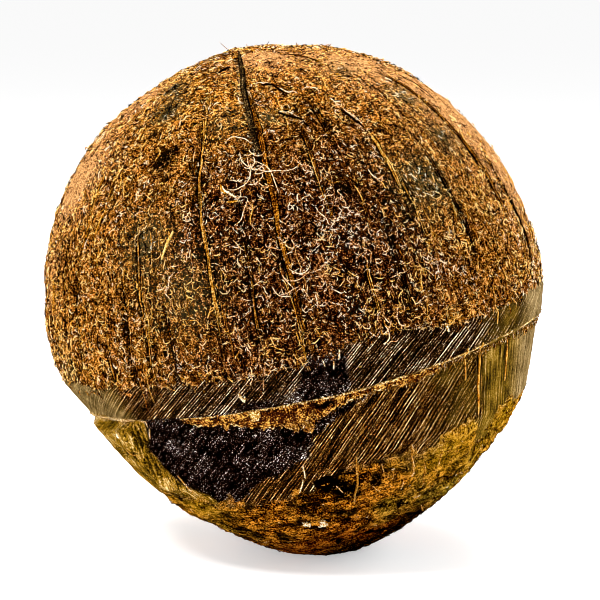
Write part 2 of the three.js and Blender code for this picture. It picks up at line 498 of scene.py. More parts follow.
# Sawn lines are a sine of the distance across the blade's way, broken up by noise. They and scratches,
# crumbs and patches sum into one grain, and the mesh's own values choose which ramp that is read from.
def bandMaterial():
    material, tree, shader = newMaterial("shavedHusk", 0.9)
    place = millimetres(tree)
    slant = attribute(tree, "slant", "Vector")
    coarse = noiseNode(tree, slant, shaved["coarse"], detail=1.0)
    crumbs = noiseNode(tree, place, shaved["crumb"], detail=0.5)
    patchy = noiseNode(tree, place, shaved["patch"])
    phase = plus(tree, times(tree, attribute(tree, "cross"), 2 * math.pi / shaved["gap"]),
                 times(tree, coarse, shaved["waver"]))
    sawn = window(tree, maths(tree, "SINE", phase), 0.0, 1.0)
    gate = window(tree, noiseNode(tree, slant, shaved["gate"], detail=1.0), *shaved["gateRange"])
    dash = window(tree, noiseNode(tree, place, shaved["dash"], detail=1.0), *shaved["dashRange"])
    gates = plus(tree, times(tree, gate, 0.3), times(tree, dash, 0.3))
    strength = maths(tree, "SUBTRACT", 1.0, times(tree, attribute(tree, "brown"), 0.2))
    lines = times(tree, times(tree, sawn, strength), plus(tree, gates, 0.4))
    odd = crossings(tree, noiseNode(tree, slant, shaved["fine"], detail=1.0), shaved["line"])
    scratches = noiseNode(tree, slant, shaved["scratch"], detail=0.5)
    grain = weighted(tree, [(lines, 0.26), (scratches, 0.5), (odd, 0.15), (crumbs, 0.55), (patchy, 0.1)])
    colour = mixColour(tree, attribute(tree, "brown"), ramp(tree, grain, shaved["dark"]),
                       ramp(tree, grain, shaved["brown"]))
    soft = weighted(tree, [(lines, 0.08), (scratches, 0.35), (coarse, 0.15), (crumbs, 0.35),
                           (patchy, 0.35)])
    olive = mixColour(tree, attribute(tree, "pale"), ramp(tree, soft, shaved["olive"]),
                      ramp(tree, soft, shaved["pale"]))
    # Olive and pale husk, partly a painted sheen where the band is seen edge-on at the sides.
    colour = mixColour(tree, window(tree, attribute(tree, "light"), 0.1, 0.9), colour, olive)
    sparks = noiseNode(tree, place, shaved["spark"], detail=0.0)
    dots = noiseNode(tree, slant, shaved["speck"], detail=0.5)
    specks = weighted(tree, [(sparks, 0.6), (dots, 0.25), (patchy, 0.2)])
    colour = mixColour(tree, window(tree, attribute(tree, "char"), 0.3, 0.6), colour,
                       ramp(tree, specks, shaved["tar"]))
    lengthways = attribute(tree, "lengthways", "Vector")
    fibres = noiseNode(tree, lengthways, shaved["strip"], detail=1.0)
    strips = weighted(tree, [(fibres, 0.55), (crumbs, 0.7), (patchy, 0.55)])
    colour = mixColour(tree, attribute(tree, "peel"), colour, ramp(tree, strips, shaved["peel"]))
    mottled = noiseNode(tree, place, shaved["mottle"], detail=1.0, distortion=0.4)
    # Fresh ochre along the ledge, partly a painted highlight on its raised edge.
    colour = mixColour(tree, window(tree, attribute(tree, "edge"), 0.25, 0.6), colour,
                       ramp(tree, mottled, shaved["ochre"]))
    dress(tree, shader, colour, grain, shaved["bump"], shaved["bumpStrength"])
    return material


# Fresh torn husk of the rag: orange brown crumbs, dark red inside, its edges pale ochre.
torn = dict(body=[(0.43, "080100"), (0.49, "381203"), (0.54, "703408"), (0.60, "a06018"), (0.67, "e4b454")],
            edge=[(0.40, "6a3c08"), (0.48, "b07a20"), (0.55, "dcb458"), (0.63, "fff0cc")],
            dark="2a0c04", black="010000", crumb=0.32, cloud=1.6, bump=0.0003)


# Crumbs and clouds sum into one height for the body's ramp. Dark, black and pale edges are mixed in where
# they lie.
def ragMaterial():
    material, tree, shader = newMaterial("tornHusk", 0.9)
    place = millimetres(tree)
    fine = noiseNode(tree, place, torn["crumb"], detail=1.0, distortion=0.3)
    clouds = noiseNode(tree, place, torn["cloud"], detail=1.0)
    height = weighted(tree, [(fine, 0.95), (clouds, 0.55)])
    colour = ramp(tree, height, torn["body"])
    dark = times(tree, attribute(tree, "dark"), window(tree, height, 0.62, 0.5))
    colour = mixColour(tree, dark, colour, torn["dark"])
    colour = mixColour(tree, attribute(tree, "black"), colour, torn["black"])
    colour = mixColour(tree, window(tree, attribute(tree, "edge"), 0.25, 0.65), colour,
                       ramp(tree, fine, torn["edge"]))
    dress(tree, shader, colour, height, torn["bump"])
    return material


# The underside: torn ochre husk in streaks that ring the nut, with olive parts, black pits and marks, some
# of them painted shade low on the right, and a redder and blacker bottom.
ochre = dict(fine=0.34, body=[(0.42, "000000"), (0.465, "1c0801"), (0.51, "542402"), (0.555, "8c4c06"),
                              (0.60, "b4700e"), (0.67, "dc9630")],
             olive=[(0.40, "040200"), (0.46, "2a1e02"), (0.53, "5e4808"), (0.61, "8e7018"),
                    (0.70, "c09c40")],
             gold=[(0.37, "1c1000"), (0.43, "6a4804"), (0.50, "90680a"), (0.58, "ac8016"),
                   (0.68, "cca03c")],
             ruddy=[(0.40, "040000"), (0.48, "300a01"), (0.56, "6e2c04"), (0.66, "aa6014")],
             edge=[(0.42, "5a2c06"), (0.50, "a86e18"), (0.58, "d8a64c"), (0.66, "f6e0b0")], char="010000",
             cloud=2.4, fibre=0.36, bump=0.0003)


# Crumbs, streaks, clouds and the relief sum into one height, read from a ramp for each kind of husk.
def underMaterial():
    material, tree, shader = newMaterial("ochreHusk", 0.9)
    place = millimetres(tree)
    fine = noiseNode(tree, place, ochre["fine"], detail=1.0, distortion=0.3)
    ringways = attribute(tree, "ringways", "Vector")
    streak = noiseNode(tree, ringways, 1.0, distortion=0.3)
    fibre = noiseNode(tree, ringways, ochre["fibre"], detail=0.5)
    clouds = noiseNode(tree, place, ochre["cloud"])
    height = weighted(tree, [(fine, 0.9), (streak, 0.2), (fibre, 0.22), (clouds, 0.5),
                             (attribute(tree, "relief"), 0.12)])
    colour = mixColour(tree, attribute(tree, "olive"), ramp(tree, height, ochre["body"]),
                       ramp(tree, height, ochre["olive"]))
    colour = mixColour(tree, attribute(tree, "gold"), colour, ramp(tree, height, ochre["gold"]))
    colour = mixColour(tree, attribute(tree, "ruddy"), colour, ramp(tree, height, ochre["ruddy"]))
    colour = mixColour(tree, times(tree, attribute(tree, "edge"), 0.25), colour,
                       ramp(tree, fine, ochre["edge"]))
    # Soot and pits, with painted shade on the facet low on the right.
    char = times(tree, attribute(tree, "char"), window(tree, height, 0.8, 0.66))
    colour = mixColour(tree, char, colour, ochre["char"])
    dress(tree, shader, colour, height, ochre["bump"])
    return material


# The coat of coir over the top of the nut.
dome = dict(rows=116, columns=410, sink=0.45, lumps=0.3, lumpSize=3.0, furrows=0.5, wideFurrow=3.2,
            fineFurrow=1.5, groove=0.7, hem=1.0, hemRough=2.2, knotRise=0.6, foot=-5, turnedIn=0.97,
            ringStain=0.9, grooveShade=0.8, crown=dict(around=110, down=9, width=12, height=1.5))
# Marks on the coat, each a bell of the given width in degrees.
stains = table("around down width depth",
               (240.5, 46, 3.0, 1.6), (244.5, 44, 1.6, 1.0), (289, 63, 2.4, 1.3), (232, 30, 2.6, 0.8),
               (222, 21, 2.0, 0.7), (233, 38, 2.2, 0.8), (272, 57, 2.6, 0.7), (318, 52, 3, 0.4),
               (120, 50, 5, 0.9), (60, 75, 4, 0.8), (20, 40, 3, 0.6))
olives = table("around down width depth",
               (232, 30, 5, 1.2), (222, 21, 3.4, 1.2), (238, 66, 6, 0.9), (248, 78, 7, 0.6),
               (328, 44, 4, 1.1), (311, 66, 7, 1.0), (327, 57, 5, 0.9), (262, 38, 5, 0.6),
               (276, 40, 2.6, 0.9), (318, 30, 4, 0.7), (200, 92, 7, 0.6), (100, 80, 12, 0.7),
               (40, 35, 9, 0.6), (160, 60, 8, 0.5))
# Worn smooth tan places; those along the sides and the top also paint the pale sheen of coir seen edge-on.
wornAndSheen = table("around down width depth",
             (352, 50, 18, 1.2), (330, 28, 10, 0.9), (352, 76, 13, 0.9), (198, 46, 10, 0.9),
             (300, 12, 7, 0.7), (200, 50, 7, 0.7), (5, 80, 9, 0.8), (186, 72, 12, 0.8), (195, 25, 9, 0.9),
             (290, 16, 8, 0.5), (75, 40, 14, 0.7), (140, 85, 10, 0.6))
knots = table("around down width",
              (278, 70, 2.1), (305, 33, 1.6), (82, 62, 2.3), (130, 35, 1.8))
# Bundles of long fibres that run down from the stem end: where they lie, from and to which angle down, how
# many fibres over what width in mm, how thick and pale each is, how deep their groove is, and for some their
# hue and how much higher they lie.
veins = table("around top bottom fibres spread thick tint groove hue lift",
              (270.5, 0.5, 52, 9, 0.4, 0.2, 0.27, 1.0, 0.9, 0.35),
              (272.0, 30, 97, 13, 0.5, 0.17, 0.36, 0.9, 0.55, 0.1),
              (271.0, 76, 99, 2, 0.9, 0.11, 0.85, 0.0), (253.5, 28, 60, 3, 0.4, 0.12, 0.7, 0.7),
              (254.5, 56, 88, 5, 0.45, 0.15, 0.75, 0.8), (216, 47, 66, 3, 0.5, 0.18, 0.75, 0.3),
              (181.5, 19, 28, 2, 0.3, 0.16, 0.8, 0.2), (303.5, 50, 66, 4, 0.35, 0.15, 0.88, 0.9),
              (304.5, 62, 78, 2, 0.3, 0.15, 0.85, 0.6), (288.5, 75, 91, 2, 0.33, 0.13, 0.85, 0.5),
              (284, 44, 69, 4, 0.35, 0.13, 0.3, 1.0), (283.3, 52, 66, 1, 0.1, 0.14, 0.9, 0.0),
              (292, 38, 50, 2, 0.3, 0.13, 0.4, 0.9), (320, 90, 101, 2, 0.2, 0.16, 0.9, 0.2),
              (349, 83, 90, 1, 0.1, 0.16, 0.9, 0.2), (224, 79, 97, 3, 0.4, 0.16, 0.75, 0.4),
              (236, 60, 92, 2, 0.3, 0.12, 0.6, 0.6), (263, 70, 95, 2, 0.3, 0.12, 0.6, 0.6),
              (335, 35, 80, 2, 0.3, 0.12, 0.55, 0.5), (206, 62, 96, 2, 0.2, 0.13, 0.05, 0.9),
              (213, 70, 90, 2, 0.2, 0.13, 0.05, 0.9), (231, 74, 99, 2, 0.2, 0.13, 0.05, 0.9),
              (242, 79, 98, 2, 0.2, 0.13, 0.05, 0.9), (263.5, 58, 74, 2, 0.2, 0.12, 0.05, 0.8),
              (296, 70, 94, 2, 0.2, 0.13, 0.05, 0.9), (317, 60, 84, 2, 0.2, 0.13, 0.05, 0.9),
              (343, 66, 92, 2, 0.2, 0.13, 0.05, 0.8), (310, 104, 112, 2, 0.15, 0.26, 0.86, 0.0),
              (314.5, 104, 121, 3, 0.2, 0.28, 0.84, 0.0), (326, 106, 116, 4, 0.4, 0.2, 0.72, 0.0),
              (30, 20, 95, 6, 0.6, 0.2, 0.5, 0.8), (62, 40, 85, 3, 0.4, 0.15, 0.75, 0.6),
              (95, 8, 60, 4, 0.4, 0.16, 0.6, 0.7), (118, 55, 97, 3, 0.4, 0.15, 0.8, 0.5),
              (150, 5, 97, 9, 0.8, 0.22, 0.42, 0.9))


# Marks summed: each its depth times a bell of the angle away from it.
def marks(around, down, places):
    return sum(m["depth"] * bell(away(around, down, m["around"], m["down"]), m["width"]) for m in places)


# Points that change fast round the nut and slowly down it: noise there makes streaks along the fibres.
lengthwaysPace = 0.1


# Each lies on a circle of the reach, at a height that grows with the angle down.
def lengthways(around, down, reach):
    return np.stack([np.cos(around) * reach, np.sin(around) * reach,
                     down * arcLength * lengthwaysPace + 0 * around], -1)


# Streaks along the fibres: noise at those points.
def streaks(around, down, size, seed):
    return noise(lengthways(around, down, nut["radius"]), size, seed)


sways = dict(slow=1.0, slowPace=0.13, fast=0.45, fastPace=0.37, reach=26, pole=20)


# How far a bundle wanders sideways, in degrees about the axis: two sines of the angle down, times a reach
# over the distance from the axis.
def veinSway(down, vein):
    d = np.degrees(down)
    wander = sways["slow"] * np.sin(d * sways["slowPace"] + vein["around"]) \
        + sways["fast"] * np.sin(d * sways["fastPace"] + 2 * vein["around"])
    return wander * sways["reach"] / (sways["pole"] + arcLength * np.sin(down))


# Grooves beside the bundles, 0 to 1: a bell across each one's left side, eased to nothing at its ends.
def veinGroove(around, down):
    total = 0
    fade = 2
    d = np.degrees(down)
    for vein in veins:
        offset = np.radians(turn(around, vein["around"]) - veinSway(down, vein)) \
            * nut["radius"] * np.sin(down)
        ends = ease(d, vein["top"] - fade, vein["top"] + fade) \
            * (1 - ease(d, vein["bottom"] - fade, vein["bottom"] + fade))
        total = total + vein["groove"] * ends * bell(offset + vein["spread"], 0.6 + 0.5 * vein["spread"])
    return np.clip(total, 0, 1)


# Knots: 1 on each, easing to 0 at its width.
def knotBump(around, down):
    return sum(1 - ease(away(around, down, k["around"], k["down"]), 0.6 * k["width"], k["width"])
               for k in knots)


# Relief of the coat in mm: furrows that run from the stem end, lumps of four sizes, grooves and knots.
def coatRelief(around, down):
    n = directions(around, down)
    furrow = streaks(around, down, dome["wideFurrow"], 5) * 0.55 \
        + streaks(around, down, dome["fineFurrow"], 9) * 0.45
    furrow = furrow * ease(np.degrees(down), 4, 30)
    lumps = roughness(n * nut["radius"], dome["lumpSize"], 4, 21)
    return dome["furrows"] * furrow + dome["lumps"] * lumps - dome["groove"] * veinGroove(around, down) \
        + dome["knotRise"] * knotBump(around, down)


# The rise of the coat behind the stem end: a bell.
def crownRise(around, down):
    crown = dome["crown"]
    return crown["height"] * bell(away(around, down, crown["around"], crown["down"]), crown["width"])


# Radius of the coat: the husk's, less the sink, plus the crown's rise and the relief.
def coatSkin(around, down):
    return huskRadius(around, down) - dome["sink"] + crownRise(around, down) + coatRelief(around, down)


# Broad places of the coat: darker ones, partly darker coir and partly painted shade low in front, paler
# ones, painted light at the top, and redder ones.
darkAndShadedPlaces = table("around down width depth", (274, 76, 33, 0.62), (100, 85, 34, 0.4))
paleAndLitPlaces = table("around down width depth", (300, 10, 34, 0.28))
redPlaces = table("around down width depth", (276, 70, 24, 0.8), (95, 70, 30, 0.4))
# The shade value: a base, painted shade and light from the places above, and streaks and clouds of tone.
shadeAndTone = dict(base=0.62, streak=0.1, streakSize=2.6, cloud=0.1, cloudSize=12)
reddening = dict(base=0.85, streak=0.2, streakSize=2.0, cloud=0.3, cloudSize=6, golden=0.6)


# How light the coat is, 0 to 1, partly its own tone and partly painted shade and light: darkest low in
# front, lighter towards the sides, the top and the back.
def coatShade(around, down):
    n = directions(around, down)
    dark = marks(around, down, darkAndShadedPlaces)
    pale = marks(around, down, paleAndLitPlaces)
    streak = shadeAndTone["streak"] * streaks(around, down, shadeAndTone["streakSize"], 75)
    cloud = shadeAndTone["cloud"] * roughness(n * nut["radius"], shadeAndTone["cloudSize"], 3, 70)
    return np.clip(shadeAndTone["base"] - dark + pale + streak + cloud, 0, 1)


# From red-brown, 0, through golden, 0.6, to grey-olive, 1: redder low in front, with streaks and clouds.
def coatHue(around, down):
    n = directions(around, down)
    red = marks(around, down, redPlaces)
    streak = reddening["streak"] * streaks(around, down, reddening["streakSize"], 77)
    cloud = reddening["cloud"] * roughness(n * nut["radius"], reddening["cloudSize"], 3, 78)
    golden = np.clip(reddening["base"] - red + streak + cloud, 0, 1)
    olive = np.clip(marks(around, down, olives), 0, 1)
    return reddening["golden"] * golden * (1 - olive) + olive


mapReach = 0.49


# Places on a disc of the map: the reach along the cosine and sine of the column's angle, from its middle.
# A reach below 0 turns the disc over.
def onDisc(reach, c, columns):
    angle = c / columns * fullTurn
    return np.stack([0.5 + abs(reach) * np.cos(angle), 0.5 + reach * np.sin(angle)], -1)


# The coat's ground: rows spread evenly from the stem end to a hem made ragged by noise.
def makeDome(material):
    columns, rows = dome["columns"], dome["rows"]
    a = np.arange(columns) / columns * fullTurn
    circle = np.stack([np.cos(a) * nut["radius"], np.sin(a) * nut["radius"], 0 * a], -1)
    edge = downOf(bandRings(a)[0]) + np.radians(dome["hem"]) \
        * (0.3 + roughness(circle, dome["hemRough"], 3, 3))
    down = (np.arange(rows) + 1)[:, None] / rows * edge
    around = np.broadcast_to(a, down.shape)
    relief = coatRelief(around, down)
    radius = coatSkin(around, down)

    # The map: a disc, with the stem end in its middle.
    def layout(r, c, rows, columns):
        return onDisc(mapReach * (r + 1) / rows, c, columns)

    # One more row turns the rim in under the coat.
    down = np.vstack([down, edge - 0.01])
    around = np.vstack([around, a])
    radius = np.vstack([radius, radius[-1] * dome["turnedIn"]])
    relief = np.vstack([relief, relief[-1]])
    ring = sum(bell(away(around, down, k["around"], k["down"]) - k["width"], 0.45) for k in knots)
    # The stain value: real stains, painted shade in the grooves beside the bundles, and dark rings round
    # knots.
    stain = marks(around, down, stains) + dome["grooveShade"] * veinGroove(around, down) \
        + dome["ringStain"] * ring
    olive = marks(around, down, olives)
    reach = nut["radius"] * np.sqrt(0.12 + 0.88 * np.sin(down) ** 2)
    values = dict(relief=np.clip(0.5 + 0.45 * relief, 0, 1), shade=coatShade(around, down),
                  hue=coatHue(around, down), stain=np.clip(stain, 0, 1), olive=np.clip(olive, 0, 1),
                  wornAndSheen=np.clip(marks(around, down, wornAndSheen), 0, 1), lengthways=lengthways(around, down, reach))
    return wrapSolid("coirDome", around, down, radius, coatSkin(np.array(0.0), np.array(0.001)),
                     dome["foot"], material, layout, values)


# The shaved band: its rows, how steep the blade's way is and how that changes to the sides, the scratches'
# depth, the rim of the ledge, the relief of the uncut stretch, and where the upright grain starts.
shave = dict(columns=1100, bevelRows=18, lipRows=3, cutRows=30, tailRows=10, tail=9, hidden=2.5,
             hiddenSink=0.7, steep=1.12, leftward=1.0, lowLeftward=0.5, rightward=0.4, spread=0.33,
             reach=53.0, heightPace=0.07, depth=0.04, wideLine=0.75, fineLine=0.45, crumbs=0.1,
             crumbSize=3.0, crumbleSize=1.8, wildSize=5.0, rim=0.3, rimRise=0.15, wedgeRelief=0.22,
             wedgeLip=1.5, tailSink=0.3, lastSink=1.0, seam=314, seamEnd=20, peelTo=141.5, mapStrips=6,
             insideTop=10, insideFoot=-20)
# Black places: on the cut between two angles, given by how many mm below the ledge they hold, and on the
# bevel round a place with half sizes in degrees and mm.
charredCuts = [dict(drop=(0, 3, 6, 9, 12, 15, 18, 23),
                    start=(220.5, 219.5, 218.8, 220, 222.5, 226.5, 231, 236),
                    end=(281, 278, 273.5, 268.5, 264, 259, 252, 240)),
               dict(drop=(0, 8, 16, 23), start=(50, 48, 55, 60), end=(118, 110, 96, 84))]
charredBevels = table("around height wide tall depth",
                      (274, -11, 6.2, 6, 1.0), (263, -14.2, 11, 1.6, 0.7), (245, -14.6, 14, 0.8, 0.5),
                      (96, -11, 9, 5, 0.9))
# How strongly husk shows fresh and ochre along the ledge, partly a painted highlight on its lit edge, by the
# angle about the axis.
ledgeLineAndHighlight = dict(around=(0, 30, 90, 140, 185, 216, 224, 246, 252, 300, 318, 345, 360),
                 share=(0.8, 0.5, 0.9, 0.6, 1.0, 1.0, 0.1, 0.15, 1.0, 1.0, 0.9, 0.8, 0.8))


# Flat-topped patches summed: each its depth times a bell of the fourth power, across and along.
def patches(around, height, places):
    return sum(m["depth"] * np.exp(-(turn(around, m["around"]) / m["wide"]) ** 4
                                   - ((height - m["height"]) / m["tall"]) ** 4) for m in places)


# How black the cut is: 1 between a patch's start and its end, eased over a ragged border.
def cutChar(around, drop, wild):
    total = 0 * around
    for c in charredCuts:
        start, end = np.interp(drop, c["drop"], c["start"]), np.interp(drop, c["drop"], c["end"])
        inside = ease(turn(around, start) + 1.0 * wild, -0.8, 0.8) * (1 - ease(
            turn(around, end) + 3.5 * wild, -2.5, 2.5))
        total = np.maximum(total, inside)
    return total


# How much of the surface is husk that the lower cut left alone: 0 or 1, over a ragged border.
def peelShare(around, drop, wild):
    front = charredCuts[0]
    start = np.interp(drop, front["drop"], front["start"])
    return (1 - ease(turn(around, start) + 1.6 * wild, -0.5, 0.5)) \
        * ease(turn(around, shave["peelTo"]) + 1.6 * wild, -1, 1)


# Points on a cylinder twisted so that a blade's scratch keeps one place, and the distance round it in mm,
# which is the angle less the twist, times the reach. Noise at the points makes scratches.
# The twist grows towards the sides. Round the right the cut husk shows its own upright grain instead.
def slantPoints(around, height):
    c = np.cos(around)
    leftward = np.where(height > ledgeLevel(around), shave["leftward"], shave["lowLeftward"])
    lean = shave["steep"] + leftward * np.clip(-c, 0, 1) ** 2 + shave["rightward"] * np.clip(c, 0, 1) ** 2
    twist = around - lean * height / shave["reach"]
    upright = (turn(around, shave["seam"]) > 0) & (turn(around, shave["seamEnd"]) < 0) \
        & (height < ledgeLevel(around) + 0.3)
    twist = np.where(upright, around, twist)
    turned = (twist - math.radians(90)) % fullTurn
    spread = turned * (1 - shave["spread"]) + 0.5 * shave["spread"] * np.sin(2 * turned)
    return np.stack([np.cos(twist) * shave["reach"], np.sin(twist) * shave["reach"],
                     height * shave["heightPace"]], -1), spread * shave["reach"]


# Where the cut husk is smooth and olive, and where pale, partly its own and partly painted sheen at the
# sides:
# each stretch's start and end about the axis, the degrees over which it fades, and its share at full
# strength.
smoothAndSheen = dict(cut=dict(start=shave["seam"], fadeIn=(-2, 7), end=40, fadeOut=(-12, 12)),
              frontCut=dict(start=300, fadeIn=(-16, 10), end=40, fadeOut=(-12, 12), share=0.42),
              rightBevel=dict(start=325, fadeIn=(-28, 16), end=40, fadeOut=(-12, 12), share=0.75),
              leftBevel=dict(start=222, fadeIn=(12, -16), end=140, fadeOut=(12, -12), share=0.9),
              pale=dict(start=333, fadeIn=(-6, 8), end=25, fadeOut=(-9, 9), share=0.75),
              paleBevel=dict(start=221, fadeIn=(5, -8), end=150, fadeOut=(12, -12), share=0.5))
# How brown the bevel is: at least so much, and more on the left of a place, over so many degrees.
browning = dict(bevel=0.3, left=0.5, start=250, fade=(0, -25))


# A stretch about the axis: its share times a step eased in at its start and one eased out at its end.
def stretchShare(around, start, fadeIn, end, fadeOut, share=1.0):
    return share * ease(turn(around, start), *fadeIn) * (1 - ease(turn(around, end), *fadeOut))


# How smooth and olive the cut husk is, partly painted sheen, 0 to 1: stretches of the cut or bevel, and
# noise.
def oliveShare(around, above, wild):
    cut = np.maximum(stretchShare(around, **smoothAndSheen["cut"]), stretchShare(around, **smoothAndSheen["frontCut"]))
    bevel = stretchShare(around, **smoothAndSheen["rightBevel"]) + stretchShare(around, **smoothAndSheen["leftBevel"])
    return np.clip(np.where(above, bevel, cut) + 0.15 * wild, 0, 1)


# Angles down of the band's rows, evenly spread in each stretch between two rings, and each row's stretch:
# 0 hidden under the coat, 1 the bevel, 2 the ledge's lip, 3 the lower cut, 4 hidden under the underside.
def bandRows(rings):
    top, edge, foot, end = [downOf(ring) for ring in rings]
    hidden, tail = math.radians(shave["hidden"]), math.radians(shave["tail"])
    stretches = [(top - hidden, top, 2), (top, edge, shave["bevelRows"]), (edge, foot, shave["lipRows"]),
                 (foot, end, shave["cutRows"]), (end, end + tail, shave["tailRows"])]
    rows, stretch = [], []
    for k, (low, high, count) in enumerate(stretches):
        share = (np.arange(count) / count)[:, None]
        rows.append(low + (high - low) * share)
        stretch += [k] * count
    rows.append(end[None] + tail)
    stretch.append(len(stretches) - 1)
    down = np.vstack(rows)
    return down, np.broadcast_to(np.array(stretch)[:, None], down.shape)


# The band's map: strips, one over the other.
def inStrips(r, c, rows, columns):
    strips = shave["mapStrips"]
    each = columns / strips
    first = np.clip(np.floor(c.min(-1, keepdims=True) / each), 0, strips - 1)
    return np.stack([0.005 + 0.99 * (c - first * each) / each,
                     (first + 0.03 + 0.94 * r / (rows - 1)) / strips], -1)


# The band: rows between its rings, on the nut's surface, with scratches, crumbs, the rim and the wedge's
# relief added to the radius.
def makeBand(material):
    columns = shave["columns"]
    a = np.arange(columns) / columns * fullTurn
    rings = bandRings(a)
    down, stretch = bandRows(rings)
    around = np.broadcast_to(a, down.shape)
    radius = nutSurface(around, down)
    height = radius * np.cos(down)
    above = stretch <= 1
    overLedge = height - ledgeLevel(around)
    p = directions(around, down) * radius[..., None]
    sliced = np.where(stretch == 3, np.minimum(radius, coneRadius(down, rings[2], rings[3])), radius)
    slant, cross = slantPoints(around, sliced * np.cos(down))
    crumble = roughness(p, shave["crumbleSize"], 4, 44)
    wild = roughness(p, shave["wildSize"], 3, 47)
    uncut = uncutShare(around) * (stretch >= 3)
    line = np.interp(np.degrees(around) % 360, ledgeLineAndHighlight["around"], ledgeLineAndHighlight["share"])
    line = line * (0.75 + 0.5 * wild)
    rimWidth = shave["rim"] * (1 + 0.8 * roughness(p, 1.5, 2, 49))
    # The rim: fresh ochre husk along the ledge, partly painted highlight, raised a little.
    rim = ease(overLedge, -0.75, -0.45) * (1 - ease(overLedge, 0.3 * rimWidth, rimWidth)) * line
    peel = peelShare(around, -overLedge, wild) * (stretch >= 2)
    olive = oliveShare(around, above, wild)
    lines = 0.6 * noise(slant, shave["wideLine"], 11) + 0.4 * noise(slant, shave["fineLine"], 12)
    radius = radius + shave["depth"] * lines * (1 - uncut) * (1 - 0.7 * olive) \
        + shave["crumbs"] * roughness(p, shave["crumbSize"], 3, 40)
    radius = radius + uncut * shave["wedgeRelief"] * crumble \
        + uncutShare(around) * shave["wedgeLip"] * bell(overLedge + 0.8, 0.5)
    radius = radius + rim * (shave["rimRise"] + 0.25 * crumble)
    tailDepth = ease(np.degrees(down - downOf(rings[3])), 0, 2)
    radius = radius - shave["tailSink"] * tailDepth - np.where(stretch == 0, shave["hiddenSink"], 0)
    radius[-1] -= shave["lastSink"]
    char = np.where(above, patches(around, height, charredBevels) + 0.3 * wild - 0.1,
                    cutChar(around, -overLedge, wild))
    char = np.clip(char, 0, 1) * (1 - peel) * (1 - rim)
    # Pale stretches at the sides, partly painted sheen.
    pale = stretchShare(around, **smoothAndSheen["pale"]) + above * stretchShare(around, **smoothAndSheen["paleBevel"])
    left = ease(turn(around, browning["start"]), *browning["fade"])
    brown = np.where(above, browning["bevel"] + browning["left"] * left, 1.0)
    values = dict(slant=slant, cross=cross, pale=pale, lengthways=lengthways(around, down, shave["reach"]),
                  edge=np.clip(rim, 0, 1), char=char, light=olive, peel=peel, brown=brown)
    return wrapSolid("shavedBand", around, down, radius, shave["insideTop"], shave["insideFoot"], material,
                     inStrips, values)


# The rag: fresh husk torn down from under the ledge, a closed wedge whose lower edge is frayed. How far
# it hangs below the ledge, in mm, by the angle about the axis.
rag = dict(around=(237, 240, 244, 247, 248, 249.5, 254, 260, 263, 264.4, 266, 266.9, 268, 268.8, 270,
                   273.5, 278, 283, 288, 292, 297, 301, 304),
           drop=(0.3, 1.8, 2.3, 2.6, 4.0, 2.6, 3.8, 4.9, 5.4, 7.0, 5.9, 8.2, 6.6, 7.7, 4.9,
                 3.7, 2.1, 1.3, 1.5, 1.9, 1.8, 1.1, 0.3),
           columns=420, rows=14, scale=0.93, teeth=0.55, proud=0.35, rise=0.3, reach=52, wall=0.5,
           chipAround=256.6, darkAround=266, blackAround=273)


# Quads of a closed sheet: its front grid, its back grid the other way round, and strips along the borders.
def sheetFaces(rows, columns):
    r, c = np.meshgrid(np.arange(rows - 1), np.arange(columns - 1), indexing="ij")
    i = r * columns + c
    front = np.stack([i, i + columns, i + columns + 1, i + 1], -1).reshape(-1, 4)
    back = front[:, ::-1] + rows * columns
    border = np.concatenate([np.arange(columns), columns * np.arange(2, rows + 1) - 1,
                             rows * columns - 2 - np.arange(columns - 1),
                             columns * np.arange(rows - 2, 0, -1)])
    after = np.roll(border, -1)
    strips = np.stack([border, after, after + rows * columns, border + rows * columns], -1)
    return np.concatenate([front, back, strips])


